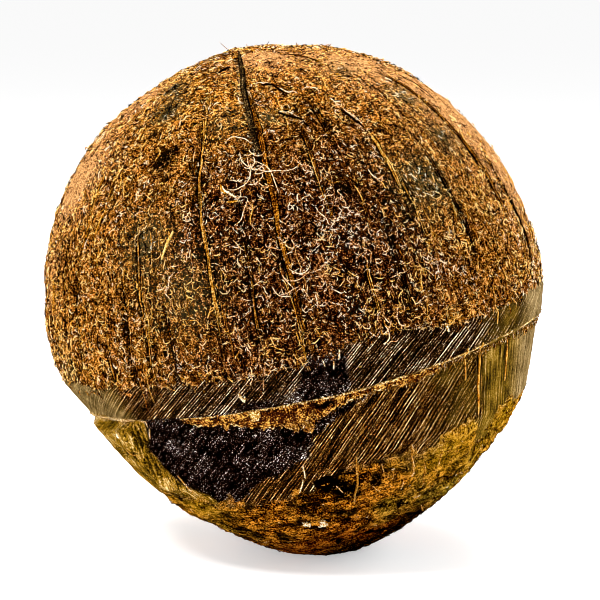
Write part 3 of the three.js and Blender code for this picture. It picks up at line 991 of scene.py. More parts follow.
# The rag: a sheet from the ledge down, its hang read from the table and toothed by noise. Its outer face
# eases from the ledge's edge towards the cut, and its inner face lies just inside the cut.
def makeRag(material):
    columns, rows = rag["columns"], rag["rows"]
    degrees = np.linspace(rag["around"][0], rag["around"][-1], columns)
    a = np.radians(degrees)
    arc = np.stack([a * rag["reach"], 0 * a, 0 * a], -1)
    drop = np.interp(degrees, rag["around"], rag["drop"]) * rag["scale"]
    drop = np.maximum(drop * (1 + 0.12 * noise(arc, 1.1, 90)) + rag["teeth"] * noise(arc, 0.5, 91), 0.2)
    t = np.linspace(0, 1, rows)[:, None]
    around = np.broadcast_to(a, (rows, columns))
    _, edge, foot, end = bandRings(a)
    below = drop * t
    height = edge[1] - 0.05 - below
    share = np.clip((foot[1] - height) / (foot[1] - end[1]), 0, 1)
    face = foot[0] + (end[0] - foot[0]) * share
    hang = ease(below, 0, 5.5)
    p = np.stack([around * rag["reach"], height, 0 * height], -1)
    crumble = roughness(p, 1.6, 3, 92)
    out = edge[0] + 0.12 - (edge[0] - face - rag["proud"]) * hang \
        + rag["rise"] * crumble * ease(below, 0.1, 0.8)
    points = np.concatenate([np.stack([r * np.cos(around), r * np.sin(around), height], -1).reshape(-1, 3)
                             for r in (out, face - rag["wall"])])
    quads = sheetFaces(rows, columns)
    count = rows * columns
    place = quads % count
    uv = np.stack([(place % columns) / (columns - 1),
                   (place // columns) / (rows - 1) * 0.49 + 0.5 * (quads >= count)], -1)
    left = drop * (1 - t)
    wisps = noise(arc, 0.8, 93)
    chip = (1 - ease(np.abs(turn(around, rag["chipAround"])) + 0.9 * wisps, 0.9, 1.6)) \
        * (1 - ease(below + 0.9 * crumble, 1.9, 2.7))
    upperEdge = (1 - ease(below, 0.15, 0.4)) * (0.6 + 0.6 * wisps)
    lowerEdge = (1 - ease(left, 0.1, 0.55)) * ease(wisps, -0.2, 0.6)
    dark = bell(turn(around, rag["darkAround"]), 9) * bell(below - 0.52 * drop, 1.2) + 0.35 * crumble
    black = 1.6 * bell(turn(around, rag["blackAround"]) + 1.6 * crumble, 2.4) \
        * ease(left + crumble, 0.4, 1.1) * ease(below + 0.8 * crumble, 0.3, 0.9)
    values = dict(edge=np.maximum(np.maximum(upperEdge, 0.75 * chip), lowerEdge),
                  dark=np.clip(dark, 0, 1), black=np.clip(black, 0, 1))
    both = {key: np.tile(v.ravel(), 2) for key, v in values.items()}
    return makePiece("tornRag", stand(points), quads, np.zeros((0, 3), int), material,
                     {"OFBake": uv.reshape(-1, 2)}, both)


# The underside. Its upper edge lies a little over the end of the cut, torn and with islands of husk, by so
# many degrees below the end of the cut at each angle about the axis.
under = dict(rows=92, columns=390, lumps=0.45, overlap=4.5, torn=2.0, proud=0.12, sink=1.2, pits=0.9,
             ringPace=0.16, insideTop=5)
tornEdge = dict(around=(0, 40, 90, 130, 170, 200, 222, 229, 238, 246, 258, 264, 270, 277,
                        284, 291, 298, 303, 308, 313, 315.5, 318, 321, 325, 328, 341, 360),
                shift=(1.5, 0.5, 3, 0, -1, 0, 0.5, 4.6, 3.2, 5.2, 5.6, 4.6, 2.2, 0.7,
                       1.6, 3.4, 3.6, 1.2, 0.2, -1.0, 2.5, 6.5, 6.0, -0.5, -1.5, 0.5, 1.5))
# Black places, then golden ones. The black places low on the right, 152 to 168 degrees down, are painted
# shade of a shadowed flat facet.
sootAndShade = table("around down width depth",
             (282, 131.5, 1.5, 1.4), (292, 129.6, 1.6, 1.4), (270.7, 140.4, 1.8, 1.3), (293, 143, 1.6, 1.2),
             (275, 133.5, 1.8, 1.3), (283, 141, 2.0, 0.9), (298.4, 123.5, 1.0, 0.8), (262, 133, 2.0, 0.7),
             (247, 134, 1.5, 0.7), (305, 145, 2.2, 0.6), (268, 127.6, 3.4, 1.6), (272.5, 131, 2.8, 1.6),
             (222, 126, 3, 0.7), (233, 136, 4, 0.6), (226, 116, 2.2, 0.6), (281, 125, 1.5, 0.8),
             (288, 124, 1.4, 0.7), (300, 128, 1.2, 0.7), (312, 168, 9, 1.2), (330, 156, 6, 1.0),
             (300, 158, 4, 1.2), (288, 168, 6, 1.2), (307, 152, 3.5, 1.1), (265, 168, 8, 0.8),
             (80, 135, 7, 0.8), (160, 140, 5, 0.6))
gilt = table("around down width depth",
             (304, 127, 8, 1.0), (330, 124, 12, 0.8), (218, 120, 10, 0.9), (228, 131, 6, 0.7),
             (70, 128, 9, 0.7))


# How black a place is, 0 to 1: the marks listed, some of them painted shade, and pits here and there,
# fewer where the husk is golden.
def sootAndShadeShare(around, down):
    golden = np.clip(marks(around, down, gilt), 0, 1)
    pits = ease(roughness(directions(around, down) * nut["radius"], 2.4, 3, 90), 0.22, 0.5) * (1 - golden)
    return np.clip(marks(around, down, sootAndShade) + under["pits"] * pits, 0, 1)


# Relief of the underside, about -1 to 1: lumps of four sizes and streaks that ring the nut.
def underRelief(around, down):
    n = directions(around, down)
    return roughness(n * nut["radius"], 3.2, 4, 60) + 0.6 * noise(ringways(around, down), 1.2, 66)


# Points that change fast down the nut and slowly round it: noise there makes streaks that ring the nut.
def ringways(around, down):
    ring = np.sin(down) * nut["radius"] * under["ringPace"]
    return np.stack([np.cos(around) * ring, np.sin(around) * ring, down * arcLength], -1)


# How many degrees a place lies below the torn edge of the underside, roughened by noise of two sizes.
def belowEdge(around, down):
    end = downOf(bandRings(around)[3])
    shift = np.interp(np.degrees(around) % 360, tornEdge["around"], tornEdge["shift"])
    n = directions(around, down) * nut["radius"]
    return np.degrees(down - end) - shift + under["torn"] * roughness(n, 3.6, 3, 62)


# Radius of the underside: the nut's surface plus relief, smoother at the heel, sunk where the edge is torn.
def underSkin(around, down):
    shown = ease(belowEdge(around, down), -0.25, 0.35)
    return nutSurface(around, down) + under["lumps"] * underRelief(around, down) \
        * (1 - 0.5 * ease(np.degrees(down), 145, 165)) + under["proud"] - under["sink"] * (1 - shown)


# The underside: rows spread evenly from over the end of the cut to the far end of the axis.
def makeUnderside(material):
    columns, rows = under["columns"], under["rows"]
    a = np.arange(columns) / columns * fullTurn
    start = downOf(bandRings(a)[3]) - np.radians(under["overlap"])
    down = start + (np.pi - start) * (np.arange(rows) / rows)[:, None]
    around = np.broadcast_to(a, down.shape)
    radius = underSkin(around, down)

    # The map: a disc seen from below, with the far end of the axis in its middle.
    def layout(r, c, rows, columns):
        return onDisc(-mapReach * (1 - r / rows), c, columns)

    n = directions(around, down)
    below = belowEdge(around, down)
    d = np.degrees(down)
    olive = 0.75 * ease(d, 134, 142) * (1 - ease(d, 148, 156)) * ease(turn(around, 282), -12, 6) \
        + 0.7 * roughness(n * arcLength, 9, 2, 63)
    ruddy = ease(d, 141, 162) + 0.4 * noise(n * arcLength, 9, 68)
    relief = np.clip(0.5 + 0.5 * underRelief(around, down), 0, 1)
    values = dict(relief=relief, ringways=ringways(around, down), char=sootAndShadeShare(around, down),
                  edge=bell(below - 0.5, 0.7), olive=np.clip(olive, 0, 1),
                  gold=np.clip(marks(around, down, gilt), 0, 1), ruddy=np.clip(ruddy, 0, 1))
    return wrapSolid("underside", around, down, radius, under["insideTop"],
                     -underSkin(np.array(0.0), np.array(3.1415)), material, layout, values)


# Random strands for a makeStrands call: headings, lengths, turns, thickness, lift and tint are drawn from
# the ranges of a style. Hue is the coat's own plus clumps of noise, and is grey only where the coat is.
def drawStrands(rng, around, down, style, heading=None):
    count = len(around)
    if heading is None:
        heading = rng.normal(0, style["veer"], count)
    low, high = style["length"]
    p = directions(around, down) * nut["radius"]
    clumps = 0.5 * noise(p, 1.7, 31) + 0.5 * noise(p, 3.4, 32)
    hue = coatHue(around, down) + 0.45 * clumps + rng.normal(0, 0.14, count)
    return dict(around=around, down=down, heading=heading,
                length=low + (high - low) * rng.uniform(0, 1, count) ** style.get("short", 1.6),
                bend=rng.normal(0, style["bend"], count), sway=rng.uniform(0.1, style["sway"], count),
                thick=rng.uniform(*style["thick"], count),
                lift=np.stack([rng.uniform(*style["rest"], count), rng.uniform(*style["arch"], count),
                               rng.uniform(*style["tip"], count)], -1),
                tint=np.clip(rng.normal(*style["tint"], count), 0.02, 0.98),
                hue=np.clip(hue, 0, np.maximum(coatHue(around, down), 0.62)))


# Many strands at once, each a three-sided spike. Its path is a curve in the skin's tangent plane, whose
# heading turns steadily and sways, laid on the skin and lifted by an arch and a rising tip.
def makeStrands(name, material, skin, drawn, steps, rng, fromRoot=False, rim=0.6):
    around, down = drawn["around"], drawn["down"]
    count = len(around)
    s = np.linspace(0, 1, steps + 1)
    phase = rng.uniform(0, fullTurn, count)[:, None]
    heading = drawn["heading"][:, None] + drawn["bend"][:, None] * s \
        + drawn["sway"][:, None] * np.sin(fullTurn * s * 1.3 + phase)
    pace = drawn["length"][:, None] / steps
    x = np.cumsum(np.cos(heading) * pace, 1) - np.cos(heading[:, :1]) * pace
    y = np.cumsum(np.sin(heading) * pace, 1) - np.sin(heading[:, :1]) * pace
    if not fromRoot:
        x, y = x - x.mean(1, keepdims=True), y - y.mean(1, keepdims=True)
    n = directions(around, down)[:, None]
    e1 = directions(around, down + np.pi / 2)[:, None]
    d = n + (x[..., None] * e1 + y[..., None] * np.cross(n, e1)) / nut["radius"]
    d /= np.linalg.norm(d, axis=-1, keepdims=True)
    arch = drawn["lift"][:, :1] + drawn["lift"][:, 1:2] * np.sin(np.pi * s) + drawn["lift"][:, 2:] * s ** 2
    reach = skin(np.arctan2(d[..., 1], d[..., 0]), np.arccos(np.clip(d[..., 2], -1, 1))) + arch
    thick = drawn["thick"][:, None] * (0.4 + 0.6 * np.sin(np.pi * (0.15 + 0.7 * s)))
    values = {key: np.repeat(drawn[key][:, None], steps + 1, 1) for key in ("tint", "hue")}
    return tubes(name, material, d * reach[..., None], d, thick, 3, values, rim)


# Closed spikes along many paths of the same number of points: rings square to each path, a cap at the
# root, and a point at the tip. Each has its own cell of the map, its length across and its girth up. The rim
# lowers the tint on every side but the top one: painted shade on each strand's lower sides.
def tubes(name, material, path, outward, thick, sides, values, rim):
    count, points = path.shape[:2]
    along = np.gradient(path, axis=1)
    along /= np.linalg.norm(along, axis=-1, keepdims=True) + 1e-9
    side = np.cross(along, outward)
    side /= np.linalg.norm(side, axis=-1, keepdims=True) + 1e-9
    up = np.cross(side, along)
    spoke = (np.arange(sides) / sides + 0.25) * fullTurn
    rings = path[:, :, None] + thick[..., None, None] * (
        np.cos(spoke)[:, None] * side[:, :, None] + np.sin(spoke)[:, None] * up[:, :, None])
    rings = rings[:, :-1].reshape(count, -1, 3)
    points -= 1
    vertices = np.concatenate([rings, path[:, -1:]], 1)
    k, j = np.meshgrid(np.arange(points - 1), np.arange(sides), indexing="ij")
    n = (j + 1) % sides
    quad = np.stack([k * sides + j, k * sides + n, (k + 1) * sides + n, (k + 1) * sides + j], -1)
    quad = quad.reshape(-1, 4)
    corner = np.stack([np.stack([k, k, k + 1, k + 1], -1) / points,
                       np.stack([j, j + 1, j + 1, j], -1) / sides], -1).reshape(-1, 4, 2)
    fan = np.arange(1, sides - 1)
    root = np.stack([fan + 1, fan, 0 * fan], -1)
    j = np.arange(sides)
    last = (points - 1) * sides
    tip = np.stack([last + j, last + (j + 1) % sides, np.full(sides, points * sides)], -1)
    rootCorner = np.stack([0 * root, root / sides], -1)
    tipCorner = np.stack([np.tile([(points - 1) / points, (points - 1) / points, 1], (sides, 1)),
                          np.stack([j, j + 1, j + 0.5], -1) / sides], -1)
    start = np.arange(count)[:, None, None] * (points * sides + 1)
    grid = math.ceil(math.sqrt(count))
    cell = np.stack(np.divmod(np.arange(count), grid), -1)[:, None, None, :]
    uv = [((cell + 0.08 + 0.84 * c[None]) / grid).reshape(-1, 2)
          for c in (corner, np.concatenate([rootCorner, tipCorner]))]
    # Painted shade: every side but the top one is darker by the rim.
    shaded = rim * np.tile(np.arange(sides) > 0, points)
    spread = {key: np.concatenate([np.repeat(v[:, :-1], sides, 1) - shaded * (key == "tint"),
                                   v[:, -1:]], 1).ravel()
              for key, v in values.items()}
    return makePiece(name, stand(vertices.reshape(-1, 3)), (start + quad).reshape(-1, 4),
                     (start + np.concatenate([root, tip])).reshape(-1, 3), material,
                     {"OFBake": np.concatenate(uv)}, spread)


# The mat: short fibres all over the coat in pieces of one kind each, straighter ones, curls and flecks.
mat = [dict(name="coirFibres", pieces=2, each=11000, steps=2, length=(0.45, 1.8), veer=1.1, bend=1.5,
            sway=0.6, thick=(0.11, 0.17), rest=(-0.05, 0.2), arch=(0.0, 0.25), tip=(-0.25, 0.25),
            tint=(0.4, 0.2)),
       dict(name="coirCurls", pieces=2, each=5500, steps=3, length=(0.9, 3.0), veer=1.1, bend=2.4,
            sway=0.9, thick=(0.095, 0.155), rest=(0.0, 0.25), arch=(0.0, 0.3), tip=(-0.3, 0.25),
            tint=(0.45, 0.2)),
       dict(name="coirFlecks", pieces=1, each=15000, steps=1, length=(0.35, 1.0), veer=1.1, bend=0.0,
            sway=0.11, thick=(0.12, 0.19), rest=(0.05, 0.3), arch=(0.0, 0.0), tip=(-0.15, 0.25),
            tint=(0.5, 0.2))]
# Steps are shares of the mat's fibres, beside them their tints in the coat's painted shade and painted
# light.
# Then come how the shade value turns one into the other, and what moves them: clumps, streaks and stains.
tints = dict(steps=(0, 0.3, 0.48, 0.64, 0.84, 1), dark=(-0.38, -0.05, 0.2, 0.82, 1.28, 1.6),
             litTints=(-0.35, 0.16, 0.6, 0.98, 1.2, 1.4), litShare=(0.2, 0.8), clumps=0.34, clumpSize=1.3,
             streaks=0.46, streakSize=1.1, stainShare=0.75, stainDrop=0.2, oliveDrop=0.12)


# Random places on the coat, evenly spread but for the worn patches, partly painted sheen, and knots, which
# lose most of theirs.
def coatRoots(rng, count):
    around = rng.uniform(0, fullTurn, 2 * count)
    limit = downOf(bandRings(around)[0])
    down = np.arccos(1 - rng.uniform(0, 1, 2 * count) * (1 - np.cos(limit)))
    bare = 0.9 * marks(around, down, wornAndSheen) + knotBump(around, down)
    keep = np.flatnonzero(rng.uniform(0, 1, 2 * count) > bare)[:count]
    return around[keep], down[keep]


# The mat: each fibre's tint is read from the two lists at a random share, mixed by the painted light and
# shade of its place, moved by clumps and streaks of noise, and darkened in stains and olive places.
def makeMat(material):
    for style in mat:
        for part in range(style["pieces"]):
            rng = np.random.default_rng(100 * style["steps"] + part)
            around, down = coatRoots(rng, style["each"])
            drawn = drawStrands(rng, around, down, style)
            litShare = ease(coatShade(around, down), *tints["litShare"])
            share = rng.uniform(0, 1, len(around))
            tint = (1 - litShare) * np.interp(share, tints["steps"], tints["dark"]) \
                + litShare * np.interp(share, tints["steps"], tints["litTints"])
            p = directions(around, down) * nut["radius"]
            tint = tint + tints["clumps"] * noise(p, tints["clumpSize"], 33) \
                + tints["streaks"] * streaks(around, down, tints["streakSize"], 34)
            stain = np.clip(marks(around, down, stains), 0, 1)
            olive = np.clip(marks(around, down, olives), 0, 1)
            drawn["tint"] = tint * (1 - tints["stainShare"] * stain) - tints["stainDrop"] * stain \
                - tints["oliveDrop"] * olive
            makeStrands("%s%d" % (style["name"], part + 1), material, coatSkin, drawn, style["steps"], rng)


# Longer pale hairs that lie loose over the mat, most of them low in front, and in a few tangles.
hairs = dict(count=560, seed=200, steps=8, length=(1.2, 4.8), veer=0.8, bend=2.6, sway=1.0,
             thick=(0.12, 0.17), short=2.2, rest=(0.15, 0.4), arch=(0.1, 0.5), tip=(-0.2, 0.5),
             tint=(1.0, 0.1), rim=0.35)
tangled = dict(hairs, steps=12, short=1.0, rest=(0.3, 0.7), bend=2.4, sway=0.5)
tangles = table("around down width count length",
                (272, 80, 2.5, 5, (3, 6)), (290, 93, 2.5, 6, (2, 4)), (245, 74, 2, 6, (2, 3.5)),
                (80, 60, 5, 10, (4, 9)), (20, 80, 4, 8, (2, 6)))
# Curls that catch the eye: heading 0 is down the nut and 90 is round it, and bend is in degrees.
curls = table("around down heading length bend thick tint",
              (265.5, 48.4, -2, 17, 130, 0.15), (268.5, 51.2, 55, 11, -60, 0.14),
              (267, 53.5, 25, 8, -150, 0.15), (260, 56.2, 10, 5.0, 70, 0.29),
              (265.8, 60.1, -5, 7, -55, 0.15), (261.6, 45.4, 135, 6.4, -105, 0.14),
              (268.3, 48.5, -10, 5, 170, 0.14), (269, 50.5, 45, 5, -190, 0.14),
              (268, 52, -30, 5, 200, 0.14), (269.5, 53, 100, 5, -240, 0.13), (267.4, 50, 10, 6, -20, 0.14),
              (270.5, 55, 15, 5, -150, 0.14), (280, 39.5, 35, 8.5, 15, 0.29, -0.1),
              (278.6, 28, 35, 7, 0, 0.29, -0.1), (300, 43, 0, 7.5, 25, 0.29, -0.1),
              (300.9, 43, 0, 6, 25, 0.13), (276.4, 70, 0, 9, 340, 0.26, -0.2),
              (262, 16, -15, 3.4, -80, 0.32, 0.0), (271.5, 76.5, 10, 7, 150, 0.14),
              (267.5, 80, 10, 5, 80, 0.14), (245, 73.5, 20, 3.2, -70, 0.15),
              (244, 75.5, -30, 3.2, 80, 0.15), (246.5, 73, -60, 2.4, 40, 0.14),
              (281, 66.5, 35, 4.0, -20, 0.14), (283.5, 69, 30, 2.0, 90, 0.14),
              (289, 93.5, 40, 4.6, -110, 0.15), (292, 92, -30, 3.6, 120, 0.15),
              (288, 95, 100, 3.0, 60, 0.14), (276, 83, -8, 3.4, 10, 0.15), (280, 39.5, 60, 5.2, -20, 0.13),
              (276.5, 27, 60, 4.4, -30, 0.14), (284.4, 31.5, 20, 5, 40, 0.14),
              (292.6, 33.9, 110, 5, -130, 0.13), (299.4, 39.1, -40, 4.0, 110, 0.14),
              (297, 60, -30, 4.0, 110, 0.14))
curlStyle = dict(steps=16, sway=0.15, tint=1.15, hue=0.1, lift=(0.4, 0.4, 0.0), rim=0.45)


# One column of a table as an array.
def column(places, key):
    return np.array([float(place[key]) for place in places])


# What every placed strand has in its table: its root and heading, turned into radians, and its length.
def rooted(places):
    angles = {key: np.radians(column(places, key)) for key in ("around", "down", "heading")}
    return dict(angles, length=column(places, "length"))


# Loose hairs where the coat is dark, then the tangles round their middles, then the curls.
def makeHairs(material):
    rng = np.random.default_rng(hairs["seed"])
    around, down = coatRoots(rng, 3 * hairs["count"])
    keep = np.flatnonzero(rng.uniform(0, 1, len(around)) > 1.35 * coatShade(around, down))[:hairs["count"]]
    around, down = around[keep], down[keep]
    drawn = drawStrands(rng, around, down, hairs)
    makeStrands("looseHairs", material, coatSkin, drawn, hairs["steps"], rng, rim=hairs["rim"])
    parts = []
    for t in tangles:
        count = t["count"]
        around = np.radians(t["around"] + rng.normal(0, t["width"], count))
        down = np.radians(t["down"] + rng.normal(0, t["width"], count))
        parts.append(drawStrands(rng, around, down, dict(tangled, length=t["length"]),
                                 rng.uniform(0, fullTurn, count)))
    together = {key: np.concatenate([p[key] for p in parts]) for key in parts[0]}
    together["hue"] = together["hue"] * 0
    makeStrands("tangledHairs", material, coatSkin, together, tangled["steps"], rng, rim=tangled["rim"])
    makeCurls(material, rng)


# The curls: each an arc from its root, at one height over the coat.
def makeCurls(material, rng):
    count = len(curls)
    places = [{"tint": curlStyle["tint"], **c} for c in curls]
    drawn = dict(rooted(places), bend=np.radians(column(places, "bend")),
                 sway=np.full(count, curlStyle["sway"]), thick=column(places, "thick"),
                 tint=column(places, "tint"), hue=np.full(count, curlStyle["hue"]),
                 lift=np.tile(curlStyle["lift"], (count, 1)))
    makeStrands("curls", material, coatSkin, drawn, curlStyle["steps"], rng, fromRoot=True,
                rim=curlStyle["rim"])


# The bundles' points and sides, from how many fibres on they are shortened, and how the fibres of a bundle
# wander and vary. Then how thick, pale and high the near black fibres are that paint a bundle's shadow.
bundle = dict(seed=250, points=46, sides=4, shortenFrom=5, shorten=0.5, wander=0.4, turns=(4, 12),
              thinner=(0.5, 0.95), tints=(-0.18, 0.12), hue=0.55, paleLift=0.12, twoShadowsFrom=0.4,
              shadowThick=0.16, shadowTint=-0.3, shadowLift=0.06, shadowOut=0.15, relief=0.6, rim=0.25)


# One fibre of a bundle at each share of its length: it runs all or part of the bundle's way, keeps its own
# place across it and wanders by a sine. Those after the last of the pale ones are painted shadow: near
# black fibres along the two sides.
def veinFibre(rng, vein, k, s):
    isShadow = k >= vein["fibres"]
    isWhole = isShadow or vein["fibres"] < bundle["shortenFrom"]
    start, stop = (0, 1) if isWhole else np.sort(rng.uniform(0, 1, 2))
    start, stop = start * bundle["shorten"], 1 - (1 - stop) * bundle["shorten"]
    down = np.radians(vein["top"] + (vein["bottom"] - vein["top"]) * (start + (stop - start) * s))
    wander = rng.uniform(-1, 1) \
        + bundle["wander"] * np.sin(s * rng.uniform(*bundle["turns"]) + rng.uniform(0, 6))
    if isShadow:
        side = 1 if k == vein["fibres"] else -1
        across = side * (vein["spread"] + bundle["shadowOut"]) + 0.1 * wander
        thick, tint, lift = bundle["shadowThick"], bundle["shadowTint"], bundle["shadowLift"]
    else:
        across = vein["spread"] * wander
        thick = vein["thick"] * rng.uniform(*bundle["thinner"])
        tint = vein["tint"] + rng.uniform(*bundle["tints"])
        lift = bundle["paleLift"]
    across = across / (nut["radius"] * (0.15 + 0.85 * np.sin(down)))
    even = dict(thick=thick, tint=tint, hue=vein.get("hue", bundle["hue"]), lift=lift + vein.get("lift", 0))
    return dict({key: np.full(len(s), value) for key, value in even.items()},
                around=np.radians(vein["around"] + veinSway(down, vein)) + across, down=down)


# The bundles: every fibre lies on the skin, or just over the band where it runs past the hem. Its thickness
# is noise times the root of a sine. A deeply grooved bundle has two near black fibres of painted shadow,
# and the others one or none.
def makeVeins(material):
    rng = np.random.default_rng(bundle["seed"])
    s = np.linspace(0, 1, bundle["points"])
    fibres = []
    for vein in veins:
        shadows = 2 if vein["groove"] > bundle["twoShadowsFrom"] else 1 if vein["groove"] > 0 else 0
        fibres += [veinFibre(rng, vein, k, s) for k in range(vein["fibres"] + shadows)]
    drawn = {key: np.array([fibre[key] for fibre in fibres]) for key in fibres[0]}
    around, down = drawn["around"], drawn["down"]
    d = directions(around, down)
    p = d * nut["radius"]
    skin = huskRadius(around, down) - dome["sink"] + crownRise(around, down) \
        + bundle["relief"] * coatRelief(around, down) + drawn["lift"]
    onCoat = down < downOf(bandRings(around)[0])
    reach = np.where(onCoat, skin + 0.3 * noise(p, 4.0, 81), nutSurface(around, down) + 0.25)
    uneven = (1 + 0.4 * noise(p, 1.6, 80)) * np.sin(np.pi * (0.03 + 0.94 * s)) ** 0.5
    values = dict(tint=drawn["tint"] + 0.25 * noise(p, 1.5, 82), hue=drawn["hue"])
    tubes("longFibres", material, d * reach[..., None], d, drawn["thick"] * uneven, bundle["sides"], values,
          bundle["rim"])


# Straight fibres down the nut all over the coat, half sunk in it.
ribs = dict(count=520, seed=270, steps=9, length=(3, 17), veer=0.07, bend=0.12, sway=0.16,
            thick=(0.09, 0.18), rest=(0.0, 0.25), arch=(-0.1, 0.25), tip=(-0.4, 0.2), tint=(0.5, 0.25))


# Strands drawn down the nut, each heading a small random turn off straight.
def makeRibs(material):
    rng = np.random.default_rng(ribs["seed"])
    around, down = coatRoots(rng, ribs["count"])
    drawn = drawStrands(rng, around, down, ribs)
    makeStrands("straightFibres", material, coatSkin, drawn, ribs["steps"], rng)


# Hairs that stand off the nut: where each is rooted, how long it is, and how far its tip stands out, in mm.
strays = table("around down length out heading",
               (262, 2, 3.4, 3.4, -85), (230, 3, 2.8, 1.8), (300, 4, 2.2, 1.5), (350, 6, 1.6, 1.4),
               (329, 10, 1.8, 1.2), (338, 15, 1.6, 1.0), (347, 19, 3.0, 1.6), (180, 18, 2.0, 1.2),
               (189, 33, 1.4, 1.0), (184, 43, 1.6, 1.0), (197, 73, 2.6, 1.2), (188, 79, 1.4, 0.9),
               (187, 88, 1.4, 0.8), (354, 73, 3.0, 0.9), (355, 40, 1.4, 0.9), (358, 55, 1.2, 0.8),
               (90, 10, 2.0, 1.4), (70, 60, 2.2, 1.2), (120, 75, 2.4, 1.2), (30, 50, 1.8, 1.0))
strayStyle = dict(seed=290, steps=7, bend=0.6, sway=(0.1, 0.4), thick=(0.08, 0.13), tint=(0.2, 0.6),
                  hue=0.5, rootLift=-0.1, arch=(0, 0.3))


# Each curve starts at its root, and its tip is lifted by the square of the way along. A heading that the
# table leaves out is drawn.
def makeStrays(material):
    style = strayStyle
    rng = np.random.default_rng(style["seed"])
    count = len(strays)
    places = [{"heading": h, **s} for s, h in zip(strays, rng.uniform(0, 360, count))]
    drawn = dict(rooted(places), bend=rng.normal(0, style["bend"], count),
                 sway=rng.uniform(*style["sway"], count), thick=rng.uniform(*style["thick"], count),
                 tint=rng.uniform(*style["tint"], count), hue=np.full(count, style["hue"]),
                 lift=np.stack([np.full(count, style["rootLift"]), rng.uniform(*style["arch"], count),
                                column(strays, "out")], -1))
    makeStrands("strayHairs", material, coatSkin, drawn, style["steps"], rng, fromRoot=True)


# Splinters: pale flat fibres torn up from the coat. Heading 0 is down the nut and 90 is round it.
splinters = table("around down heading length thick tint",
                  (244.5, 67, -25, 7.0, 0.42, 1.15), (260, 57, 10, 3.0, 0.35, 0.78),
                  (262, 60, 70, 2.4, 0.3, 0.7), (266, 64, -20, 5.0, 0.16, 0.88),
                  (221, 60, -25, 8.0, 0.2, 0.8), (292, 65, 15, 4.5, 0.14, 0.95),
                  (354, 72, -12, 5.5, 0.15, 0.92), (345, 84, 12, 7.0, 0.14, 0.85),
                  (110, 65, 20, 6.0, 0.35, 0.8), (40, 70, -20, 5.0, 0.3, 0.8))
splinterStyle = dict(seed=295, steps=8, bend=0.35, sway=(0.05, 0.2), lift=(0.25, 0.15, 0.1), paler=0,
                     hue=0.6, rim=0.25)


# Strands placed one by one: roots, headings, lengths, thickness and tints come from a table, and bends and
# sways are drawn from the style's ranges. The style says too how much paler than the table they are.
def makePlaced(name, material, skin, places, style):
    rng = np.random.default_rng(style["seed"])
    count = len(places)
    drawn = dict(rooted(places), bend=rng.normal(0, style["bend"], count),
                 sway=rng.uniform(*style["sway"], count), thick=column(places, "thick"),
                 tint=column(places, "tint") + style["paler"], hue=np.full(count, style["hue"]),
                 lift=np.tile(style["lift"], (count, 1)))
    makeStrands(name, material, skin, drawn, style["steps"], rng, rim=style["rim"])


# Fibre ends that hang over the top of the bevel.
hem = dict(count=900, seed=300, steps=3, below=(-2.0, 0.6), length=(0.6, 2.2), veer=0.5, bend=0.8,
           sway=0.5, thick=(0.07, 0.14), rest=(0.05, 0.25), arch=(0.0, 0.2), tip=(-0.4, 0.3),
           tint=(0.42, 0.25))


# Strands rooted round the top of the band, on the lower of the coat's skin and just over the band.
def makeHem(material):
    rng = np.random.default_rng(hem["seed"])
    around = rng.uniform(0, fullTurn, hem["count"])
    down = downOf(bandRings(around)[0]) + np.radians(rng.uniform(*hem["below"], hem["count"]))
    drawn = drawStrands(rng, around, down, hem)
    makeStrands("coatHem", material, lambda a, d: np.minimum(coatSkin(a, d), nutSurface(a, d) + 0.5), drawn,
                hem["steps"], rng, fromRoot=True)


# Torn fibre ends of fresh ochre husk: thick along the rag's lower edge, and here and there along the ledge.
fringe = dict(count=1300, seed=400, steps=3, right=(296, 350), onRag=(239, 303), ragLift=0.35,
              length=(0.4, 1.5), veer=0.5, bend=0.6, sway=0.4, thick=(0.06, 0.13), rest=(-0.1, 0.15),
              arch=(0.0, 0.25), tip=(-0.2, 0.35), tint=(0.52, 0.25))


# A fifth of the ends are rooted anywhere along the ledge, a fifth along its right, and the rest on the rag.
def makeFringe(material):
    rng = np.random.default_rng(fringe["seed"])
    count = fringe["count"]
    kind = rng.uniform(0, 1, count)
    anywhere, right = rng.uniform(0, 360, count), rng.uniform(*fringe["right"], count)
    onRag = kind >= 0.4
    degrees = np.where(kind < 0.2, anywhere,
                       np.where(onRag, rng.uniform(*fringe["onRag"], count), right))
    around = np.radians(degrees)
    hang = np.interp(degrees, rag["around"], rag["drop"]) * rng.uniform(0.55, 1, count)
    level = ledgeLevel(around) - np.where(onRag, hang, 0.5)
    down = np.arctan2(band["ledgeRadius"] - 0.8, level)
    drawn = drawStrands(rng, around, down, fringe)
    drawn["length"] = drawn["length"] * np.where(onRag, 0.75, 0.5 + 1.2 * (kind > 0.2))
    drawn["lift"][:, 0] += np.where(onRag, fringe["ragLift"], 0)
    makeStrands("ledgeFringe", material, lambda a, d: nutSurface(a, d) + 0.2, drawn, fringe["steps"], rng,
                fromRoot=True)


# Ochre strands of the underside and the uncut stretch. Some ring the nut and some hang down it.
ochres = dict(count=3400, seed=500, steps=2, fromDown=116, ringed=0.4, length=(0.6, 2.4), bend=1.1,
              sway=0.6, thick=(0.08, 0.16), rest=(-0.1, 0.15), arch=(0.0, 0.15), tip=(-0.3, 0.15),
              tint=(0.33, 0.25))
tuftStyle = dict(ochres, count=30, steps=5, length=(0.8, 2.2), thick=(0.2, 0.34), tint=(1.3, 0.01),
                 rest=(0.2, 0.5), rim=0.25)
tufts = table("around down",
              (258, 142), (263.5, 143))


